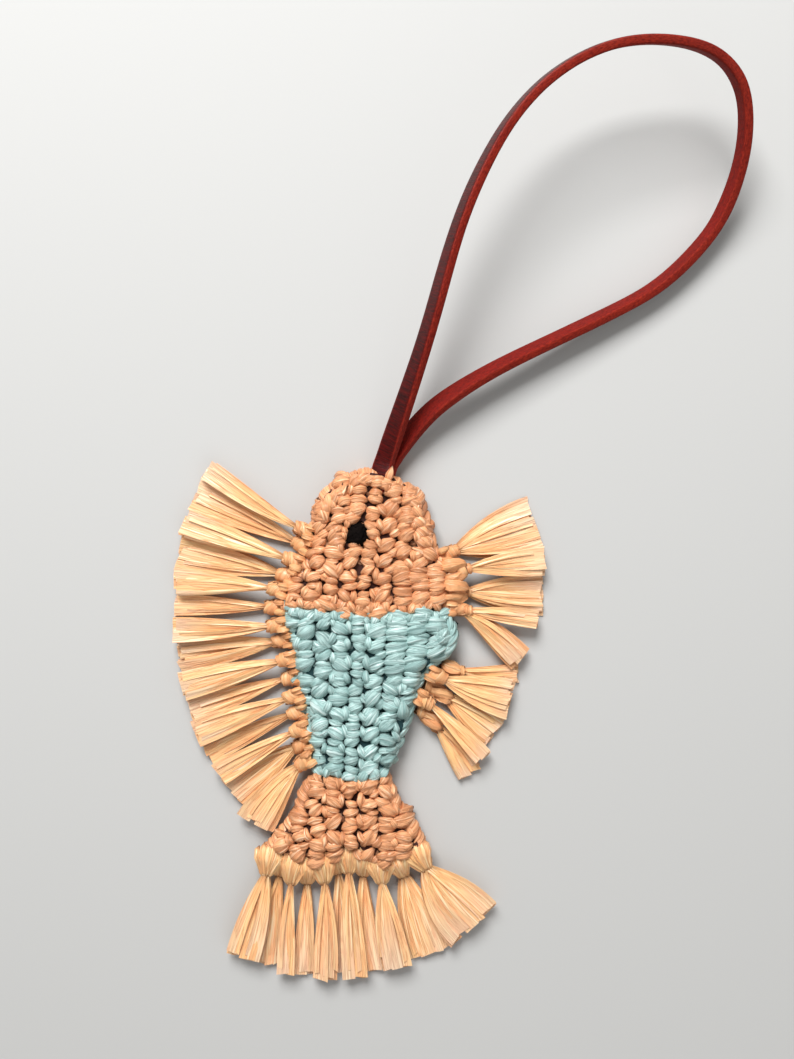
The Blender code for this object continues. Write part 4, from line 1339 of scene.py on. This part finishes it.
TAIL_FIN = {
    "name": "tail_fin", "side": -1, "first_layer": UPPER, "pale_from": 0.25,
    "knots": (0.0, 3.3, 6.6, 9.9, 13.6, 17.2, 20.8, 24.9, 29.2, 33.6, 39.2),
    "tips": [(-33.4, -56.6), (-19.0, -62.4), (-2.0, -63.6), (15.0, -58.8), (24.5, -53.6),
             (33.6, -43.8)],
    "widths": (8.6, 4.8, 4.1, 4.6, 6.3, 2.8, 3.2, 5.3, 7.7, 9.8, 16.5),
}
back_edge = edge_line(HEAD_LEFT + BODY_LEFT[1:])
belly_edge = edge_line(HEAD_RIGHT + BODY_RIGHT[1:])
fins = (BACK_FIN, FRONT_FIN, REAR_FIN, TAIL_FIN)
print("tassels:", {fin["name"]: len(fin["knots"]) for fin in fins})

# %% [markdown]
# From its knot a tassel runs straight out from the edge and then bends to its own place on the
# line of the tips. A curve with one pull point does that, and the pull point lies straight ahead
# of the knot.

# %% Paths of the tassels
SEAM_GAP, LAYER_GAP = 0.3, 0.35
KNOT_WIDTH, KNOT_LENGTH, KNOT_HEIGHT = 3.0, 3.4, 4.0
FAN_HEIGHT, TIP_HEIGHT = 2.4, 1.9
LEAST_FAN, FAN_BEND, FAN_STEPS = 4.6, 6.0, 25
# Each pair below is for the lower and the upper layer.
KNOT_LIFT = (0.5, 2.0)
FAN_LIFT = (0.0, FAN_HEIGHT + LAYER_GAP)
TIP_LIFT = (0.0, TIP_HEIGHT + LAYER_GAP)
FAN_FILL = (1.08, 0.89)


def bunches_of(width):
    """Middle and width of each bunch of a tassel, along the line of the tips."""
    if not isinstance(width, tuple):
        return [(width / 2, width)]
    first, gap, second = width
    return [(first / 2, first), (first + gap + second / 2, second)]


def tassel_path(start, out, tip):
    """From the knot straight out, and round to the tip."""
    pull = start + out * FAN_BEND
    shares = np.linspace(0, 1, FAN_STEPS)[:, None]
    return Line(start * (1 - shares) ** 2 + pull * 2 * shares * (1 - shares) + tip * shares ** 2)


def tassels_of(fin, edge):
    """Name, layer and fans of each tassel. A fan is its path and its width at the tip."""
    tips = edge_line(fin["tips"])
    shares = [sum(width) if isinstance(width, tuple) else width for width in fin["widths"]]
    scale = tips.length / sum(shares)
    found, passed = [], 0.0
    for i, (distance, width, share) in enumerate(zip(fin["knots"], fin["widths"], shares)):
        layer = (fin["first_layer"] + i) % 2
        spot, along = edge.at(distance), edge.heading(distance)
        normal = beside(along, fin["side"])
        middle = tips.at((passed + share / 2) * scale)
        out = unit(normal + unit(middle - spot))
        slant = math.sqrt(max(0.0, 1 - out.dot(normal) ** 2))
        start = spot + normal * (SEAM_GAP + KNOT_WIDTH / 2 * slant)
        fans = [(tassel_path(start, out, tips.at((passed + at) * scale)),
                 max(wide * scale * FAN_FILL[layer], LEAST_FAN)) for at, wide in bunches_of(width)]
        passed += share
        name = f"{fin['name']}_tassel_{i + 1:02d}"
        found.append({"name": name, "layer": layer, "path": fans[0][0], "fans": fans})
    return found


print("edges with tassels in mm:", round(back_edge.length, 1), round(belly_edge.length, 1))

# %% [markdown]
# Every knot is tied from the same few parts: collars that go right round the tassel, bridges
# that come out of the fabric into the knot, and pleats that run together into the neck. A
# collar is two strands, one over the tassel and one below. All of them have a low tone, which
# mixes in the painted shade of the folds, so they are darker and more orange than the fans.

# %% Parts of a knot
COLLAR_TURNS = (-0.25, 0.6, math.pi / 2, math.pi - 0.6, math.pi + 0.25)
BRIDGE_WIDTH, BRIDGE_HEIGHT = 1.6, 1.5
PLEATS = (-1, -0.35, 0.35, 1)
PLEAT_WIDTH, PLEAT_HEIGHT = 1.2, 1.1


def tight():
    """The low tone of a knot's strand, which mixes in the painted fold shade: darker, more orange.
    """
    return chance.uniform(-1.0, -0.35)


def across_path(path, distance):
    ahead = path.heading(distance)
    return ahead, unit(np.cross(ahead, UP))


def on_path(path, distance, aside, up):
    """A point beside a path. A distance below 0 lies as far behind its start."""
    ahead, side = across_path(path, distance)
    return path.at(distance) + ahead * min(distance, 0) + side * aside + UP * up


def collar(bm, tassel, distance, breadth, thickness, half, low, high, slant):
    """A closed turn of raffia round a tassel, as one strand over it and one below.

    half: half its width across the tassel. slant: how far it leans along the tassel.
    """
    ahead, side = across_path(tassel["path"], distance)
    spot = tassel["path"].at(distance)
    middle, tall = (low + high) / 2, (high - low) / 2
    for way in (1, -1):
        steps = [(slant * way * math.cos(turn), half * math.cos(turn),
                  middle + way * tall * math.sin(turn)) for turn in COLLAR_TURNS]
        lay_strand(bm, bent(spot, ahead, side, steps), breadth * chance.uniform(0.92, 1.1),
                   thickness, side=ahead, fullness=0.34, crease=0.5,
                   twist=chance.uniform(-0.4, 0.4), tone=tight())


def bridge(bm, tassel, apart, high):
    """A strand that comes out of the fabric and goes over its edge into the knot."""
    ahead, side = across_path(tassel["path"], 0.5)
    root = tassel["path"].at(0.0) + side * apart
    points = bent(root, ahead, side, ((-1.7, 0.0, 4.4), (-0.9, 0.0, 6.0), (0.3, 0.0, high + 0.6),
                                      (1.8, 0.0, high - 0.4)))
    lay_strand(bm, points, BRIDGE_WIDTH, BRIDGE_HEIGHT, fullness=0.4, tone=tight())


def gathered(bm, tassel, first, last, high, low):
    """Pleats that run from a wide knot together into the neck, from one distance to another."""
    for place in PLEATS:
        points = []
        for share, narrow in ((0.0, 1.0), (0.5, 0.75), (1.0, 0.3)):
            up = high + (low - high) * share ** 1.5 - 0.4 * abs(place)
            points.append(on_path(tassel["path"], first + (last - first) * share,
                                  place * narrow, up))
        lay_strand(bm, points, PLEAT_WIDTH, PLEAT_HEIGHT, fullness=0.5, tone=tight())


print("knot in mm:", KNOT_WIDTH, "x", KNOT_LENGTH, "x", KNOT_HEIGHT)

# %% [markdown]
# A plain knot is one broad collar at the root, a small one past it that leans across, and
# pleats that gather into the neck. Most tassels have it. The front fin also has two knots with
# fat loops that lie over the edge of the fabric, and one with two more thin rings round its
# neck. Each kind is a function that says where its fan starts, so a fringe can choose its own.

# %% Plain, ringed and looped knots
FAT_LOOPS = ((-1.3, 3.6, 0.0), (1.5, 3.0, -0.7))            # place, width and rise of each


def knot(bm, tassel):
    """A turn of raffia round the root of a tassel, with a second turn that leans across it."""
    low = KNOT_LIFT[tassel["layer"]] + 0.45
    high = low + KNOT_HEIGHT - 0.9
    lean = chance.choice((-1, 1)) * chance.uniform(0.3, 1.0)
    size = chance.uniform(0.95, 1.1)
    for apart in (-1.2, 1.2):
        bridge(bm, tassel, apart * size, high - 0.2)
    collar(bm, tassel, 0.9, breadth=3.7, thickness=1.4, half=1.6 * size, low=low, high=high,
           slant=lean * 1.3)
    collar(bm, tassel, 2.7, breadth=1.7, thickness=1.0, half=1.35 * size, low=low + 0.2,
           high=high - 0.3, slant=lean)
    gathered(bm, tassel, 2.0, 4.1, high=high - 0.5, low=FAN_LIFT[tassel["layer"]] + 2.1)
    return KNOT_LENGTH - 0.6


def thin_ring(bm, tassel, distance, low):
    """One thin turn of raffia round the neck of a fan."""
    collar(bm, tassel, distance, breadth=0.9, thickness=0.7, half=1.2, low=low, high=low + 2.6,
           slant=0.15)


def ringed_knot(bm, tassel):
    """A knot with two thin rings more round the neck of the fan."""
    start = knot(bm, tassel)
    for distance in (3.9, 4.8):
        thin_ring(bm, tassel, distance, FAN_LIFT[tassel["layer"]] + 0.4)
    return start


def looped_knot(bm, tassel):
    """Two fat loops that lie over the edge of the fabric, and a thin ring round the neck."""
    path, low = tassel["path"], FAN_LIFT[tassel["layer"]]
    ahead, side = across_path(path, 0.0)
    root, neck = path.at(0.0), path.at(4.4) + UP * (low + 2.2)
    for apart, width, rise in FAT_LOOPS:
        points = bent(root, ahead, side * apart, (
            (-3.0, 1.3, 4.6), (-1.2, 1.1, 6.9 + rise), (1.3, 1.0, 6.2 + rise)))
        points.append(neck + side * apart * 0.3)
        # The loops' low tone mixes in the painted fold shade.
        lay_strand(bm, points, width, 2.6, fullness=0.5, twist=1.6, tone=chance.uniform(-1.0, -0.8))
    collar(bm, tassel, 2.2, breadth=2.4, thickness=1.0, half=1.7, low=low + 0.6, high=low + 3.4,
           slant=0.5)
    thin_ring(bm, tassel, 4.3, low + 0.5)
    return KNOT_LENGTH


print("lowest and highest knot in mm:", KNOT_LIFT[LOWER], KNOT_LIFT[UPPER] + KNOT_HEIGHT)

# %% [markdown]
# The rear fin hangs from longer roots. In one of its tassels the strands run along the root and
# a ring holds them, and in two others three plies are twisted round each other first.

# %% Long and twisted knots
LONG_STRANDS = ((-1.1, 2.2), (-0.4, 3.3), (0.5, 3.2), (1.2, 2.1), (-0.7, 1.2), (0.7, 1.2))
TWIST_LENGTH, TWIST_TURN, TWIST_STEPS, PLIES = 8.5, 3.4, 6, 3
TWIST_ROOT = -0.6               # the plies start this far behind the root


def long_knot(bm, tassel):
    """Strands that run along the root, held by one ring."""
    path, low = tassel["path"], KNOT_LIFT[tassel["layer"]]
    for apart, rise in LONG_STRANDS:
        points = [on_path(path, distance, apart * narrow,
                          low + 0.4 + rise * (0.75 + 0.25 * narrow))
                  for distance, narrow in ((-0.8, 0.6), (1.6, 1.0), (5.2, 0.5))]
        lay_strand(bm, points, 1.5, 1.5, fullness=0.5, tone=tight())
    collar(bm, tassel, 4.9, breadth=1.3, thickness=0.9, half=1.3, low=low + 0.6, high=low + 3.6,
           slant=0.3)
    return KNOT_LENGTH + 0.2


def twisted_knot(bm, tassel):
    """Three plies twisted round each other at the root."""
    path, low = tassel["path"], FAN_LIFT[tassel["layer"]]
    phase = chance.uniform(0, math.tau)
    for ply in range(PLIES):
        points = []
        for step in range(TWIST_STEPS + 1):
            share = step / TWIST_STEPS
            turn = phase + ply * math.tau / PLIES + TWIST_TURN * share
            points.append(on_path(path, TWIST_LENGTH * share if step else TWIST_ROOT,
                                  0.95 * math.cos(turn), low + 2.1 + 0.85 * math.sin(turn)))
        lay_strand(bm, points, 2.1, 1.9, fullness=0.30, twist=2.0, tone=tight())
    collar(bm, tassel, 1.0, breadth=2.0, thickness=1.0, half=1.3, low=low + 0.7, high=low + 3.7,
           slant=0.6)
    return TWIST_LENGTH - 3.2


print("twisted root in mm:", TWIST_LENGTH, "with", PLIES, "plies")

# %% [markdown]
# The tail's knots are long pleated hoods. Six strands reach up over the hem in a fan, bend over
# the edge and run together into the neck, and three more fill the hood from below. Their tone is
# higher than in the other knots, with little of the painted fold shade, so they are paler.

# %% Hoods
HOOD_REACH, HOOD_SPREAD = 5.0, 2.9      # how far a hood reaches up over the hem, and to each side
HOOD_PLEATS = (-1.0, -0.6, -0.2, 0.2, 0.6, 1.0)
HOOD_FILLING = (-0.8, 0.0, 0.8)


def hood(bm, tassel):
    """The pleated loop at the root of one of the tail's tassels."""
    path, base = tassel["path"], KNOT_LIFT[tassel["layer"]]
    ahead, side = across_path(path, 0.0)
    root = path.at(0.0)
    neck_rise = FAN_LIFT[tassel["layer"]] + 1.7
    for place in HOOD_PLEATS:
        reach = HOOD_REACH * (1 - 0.2 * place ** 2) * chance.uniform(0.9, 1.1)
        points = bent(root, ahead, side * place, (
            (-reach, HOOD_SPREAD, 4.4), (-reach * 0.5, HOOD_SPREAD, 6.7 - 0.4 * abs(place)),
            (0.9, 1.7, 4.9 + base * 0.4 - 0.5 * abs(place))))
        points.append(path.at(KNOT_LENGTH + 0.9) + side * place * 0.6 + UP * neck_rise)
        lay_strand(bm, points, 1.7, 1.3, fullness=0.38, lean=0.85, tone=chance.uniform(-0.1, 0.9))
    for place in HOOD_FILLING:
        back = root - ahead * 0.6 + side * place * 2.0 + UP * 2.2
        neck = path.at(KNOT_LENGTH + 0.6) + side * place * 0.5 + UP * (base + 1.0)
        lay_strand(bm, [back, (back + neck) / 2, neck], 2.2, 1.6, fullness=0.45, tone=-0.4)
    return KNOT_LENGTH - 1.0


print("hood in mm:", HOOD_REACH, "x", 2 * HOOD_SPREAD)

# %% [markdown]
# A fan is two beds of ribbons. The lower bed is wider and a little longer, so that its tips show
# below the upper one as they do in the photograph, and it is darker because it lies in the shade
# of the other. Each ribbon is cut a little unevenly, and two thin ones stray across the rest.

# %% Fans
BEDS = (                        # ribbon spacing, least and greatest width, height share, tones
    (2.3, 2.2, 3.0, 0.20, (-0.7, 0.1)),
    (2.9, 2.8, 4.2, 0.66, (0.2, 1.0)),
)
CUT_SPREAD = 1.2                # how unevenly the tips are cut
FAN_SPREAD = 1.16               # loose ribbons reach a little over their neighbours
PARTINGS = (0.0, 0.2, 0.7)      # how far a fan may part in the middle, to each side
MOST_ROLL, STRAY_ROLL = 22, 25  # how far a ribbon may turn on its edge, in degrees


def fan(bm, layer, path, wide, start, opening, pale_from):
    """The ribbons of one bunch of a tassel."""
    neck, tip_low = FAN_LIFT[layer] + 1.5, TIP_LIFT[layer]
    wide = wide * FAN_SPREAD
    split, apart = chance.uniform(-0.5, 0.5), chance.choice(PARTINGS)
    for bed, (spacing, least, most, share, tones) in enumerate(BEDS):
        count = max(round(wide / spacing), 2)
        for k in range(count):
            place = (k + 0.5) / count * 2 - 1 + chance.uniform(-0.15, 0.15)
            width = min(chance.uniform(least, most), wide * 0.6)
            tip = place * (wide - width * 0.8) / 2 + math.copysign(apart, place - split)
            end = path.length + 0.4 * (1 - bed) - chance.uniform(0.0, CUT_SPREAD)
            dome = (1 - min(place ** 2, 1)) * 0.5 * bed
            heights = (neck + 0.35 * bed, tip_low + TIP_HEIGHT * share + dome)
            roll = math.radians(chance.uniform(-MOST_ROLL, MOST_ROLL))
            tone = chance.uniform(*tones)
            curl = chance.uniform(0.1, 0.6) * bed
            lay_ribbon(bm, path, start, end, (tip * 0.12, tip), width, heights, opening,
                       pale_from, roll, tone, curl)
    for side in (-1, 1):
        stray = (0.2 * side, -side * wide * chance.uniform(0.1, 0.4))
        end = path.length - chance.uniform(0.5, 4.0)
        width = chance.uniform(0.9, 1.6)
        heights = (neck + 0.6, tip_low + TIP_HEIGHT * 0.95)
        lay_ribbon(bm, path, start, end, stray, width, heights, opening, pale_from,
                   roll=math.radians(STRAY_ROLL * side), tone=0.8, curl=0.5)


print("ribbons in a fan 7 mm wide:", sum(round(7 * FAN_SPREAD / bed[0]) for bed in BEDS) + 2)

# %% [markdown]
# Now the four fringes. Each names the knots of its tassels in turn, and the last kind goes for
# the rest. The tassels of one fringe open alike: early in the tail, where they hang free and
# straight, and late in the rear fin with its twisted roots. Every tassel is a piece of its own,
# because it is one in the solids.

# %% The four fringes
RIBBON_SHARP = 60               # folds of the film sharper than this, in degrees, stay crisp


def fringe(fin, edge, kinds, opening):
    """All the tassels of a fringe."""
    for i, tassel in enumerate(tassels_of(fin, edge)):
        bm = bmesh.new()
        start = kinds[min(i, len(kinds) - 1)](bm, tassel)
        for path, wide in tassel["fans"]:
            fan(bm, tassel["layer"], path, wide, start, opening, fin["pale_from"])
        fish.append(finish_piece(tassel["name"] + "_raffia", bm, PEACH,
                                 [tassel["name"]], sharp=RIBBON_SHARP))


fringe(BACK_FIN, back_edge, [knot], 1.8)
fringe(FRONT_FIN, belly_edge, [knot, looped_knot, looped_knot, ringed_knot], 2.0)
fringe(REAR_FIN, belly_edge, [long_knot, knot, twisted_knot, knot, twisted_knot], 1.7)
fringe(TAIL_FIN, hem_line, [hood], 2.3)
print("pieces:", len(fish), "faces:", sum(len(piece.data.polygons) for piece in fish))

# %% [markdown]
# The eye is a small knot of black brushed yarn. Yarn is dull and swallows light, so its finish
# is nearly black, very rough and hardly shiny, with short fibres that follow its strands.

# %% Yarn finish
YARN_BLACKS = (0.001, 0.0008, 0.0006, 1), (0.009, 0.005, 0.004, 1)
YARN_FIBRES = {"stretch": (1.0, 1.0, 0.2), "scale": 6.0, "detail": 3.0}
YARN_RELIEF, YARN_ROUGHNESS, YARN_SHINE = 0.2, 0.9, 0.1


def yarn():
    finish, tree, shader = new_finish("black_yarn")
    fibres = stretched_noise(tree, attribute(tree, "grain", "Vector"), **YARN_FIBRES)
    colour = mixed(tree, ranged(tree, fibres, 0.35, 0.7), *YARN_BLACKS)
    plug(tree, colour, shader.inputs["Base Color"])
    plug(tree, bumped(tree, fibres, 1.0, YARN_RELIEF), shader.inputs["Normal"])
    plug(tree, YARN_ROUGHNESS, shader.inputs["Roughness"])
    plug(tree, YARN_SHINE, shader.inputs["Specular IOR Level"])
    return finish


YARN = yarn()
print("yarn:", YARN.name, len(YARN.node_tree.nodes), "nodes")

# %% [markdown]
# The knot itself is a ball of crossing strands. Short loose hairs stand out of it, which a bump
# in the material couldn't show at its outline, so each hair is a very thin strand of its own.

# %% Eye
EYE_RADIUS, EYE_TOP = 2.8, 9.7
YARN_TURNS, YARN_WIDTH, YARN_HEIGHT = 18, 1.3, 1.1
HAIRS, HAIR_WIDTH = 170, 0.13
HAIR_ROOTS = (1.9, 1.9, 1.2)    # the hairs start on a ball of these radii, inside the knot


def eye():
    bm = bmesh.new()
    centre = EYE_CENTRE + UP * (EYE_TOP - EYE_RADIUS)
    for turn in range(YARN_TURNS):
        angle = math.tau * turn / YARN_TURNS + chance.uniform(-0.2, 0.2)
        ahead = np.array([math.cos(angle), math.sin(angle), 0.0])
        aside = chance.uniform(-1.0, 1.0)
        top = 1.9 + chance.uniform(-0.3, 0.2)
        points = bent(centre, ahead, beside(ahead), (
            (-EYE_RADIUS, aside, -1.8), (-2.4, aside, 0.5), (0.0, aside, top),
            (2.4, aside, 0.5), (EYE_RADIUS, aside, -1.8)))
        lay_strand(bm, points, YARN_WIDTH, YARN_HEIGHT, fullness=0.3)
    for _ in range(HAIRS):
        angle, lean = chance.uniform(0, math.tau), chance.uniform(0.1, 1.2)
        ahead = np.array([math.cos(angle) * math.sin(lean), math.sin(angle) * math.sin(lean),
                          math.cos(lean)])
        root = centre + ahead * HAIR_ROOTS
        bend = unit(np.array([chance.uniform(-1, 1), chance.uniform(-1, 1), chance.uniform(0, 1)]))
        points = [root, root + ahead * 0.7, root + ahead * 1.1 + bend * 0.5]
        lay_strand(bm, points, HAIR_WIDTH, HAIR_WIDTH, side=unit(np.cross(ahead, bend)),
                   fullness=0.3)
    return finish_piece("eye_yarn", bm, YARN, ["eye"])


fish.append(eye())
print("eye faces:", len(fish[-1].data.polygons))
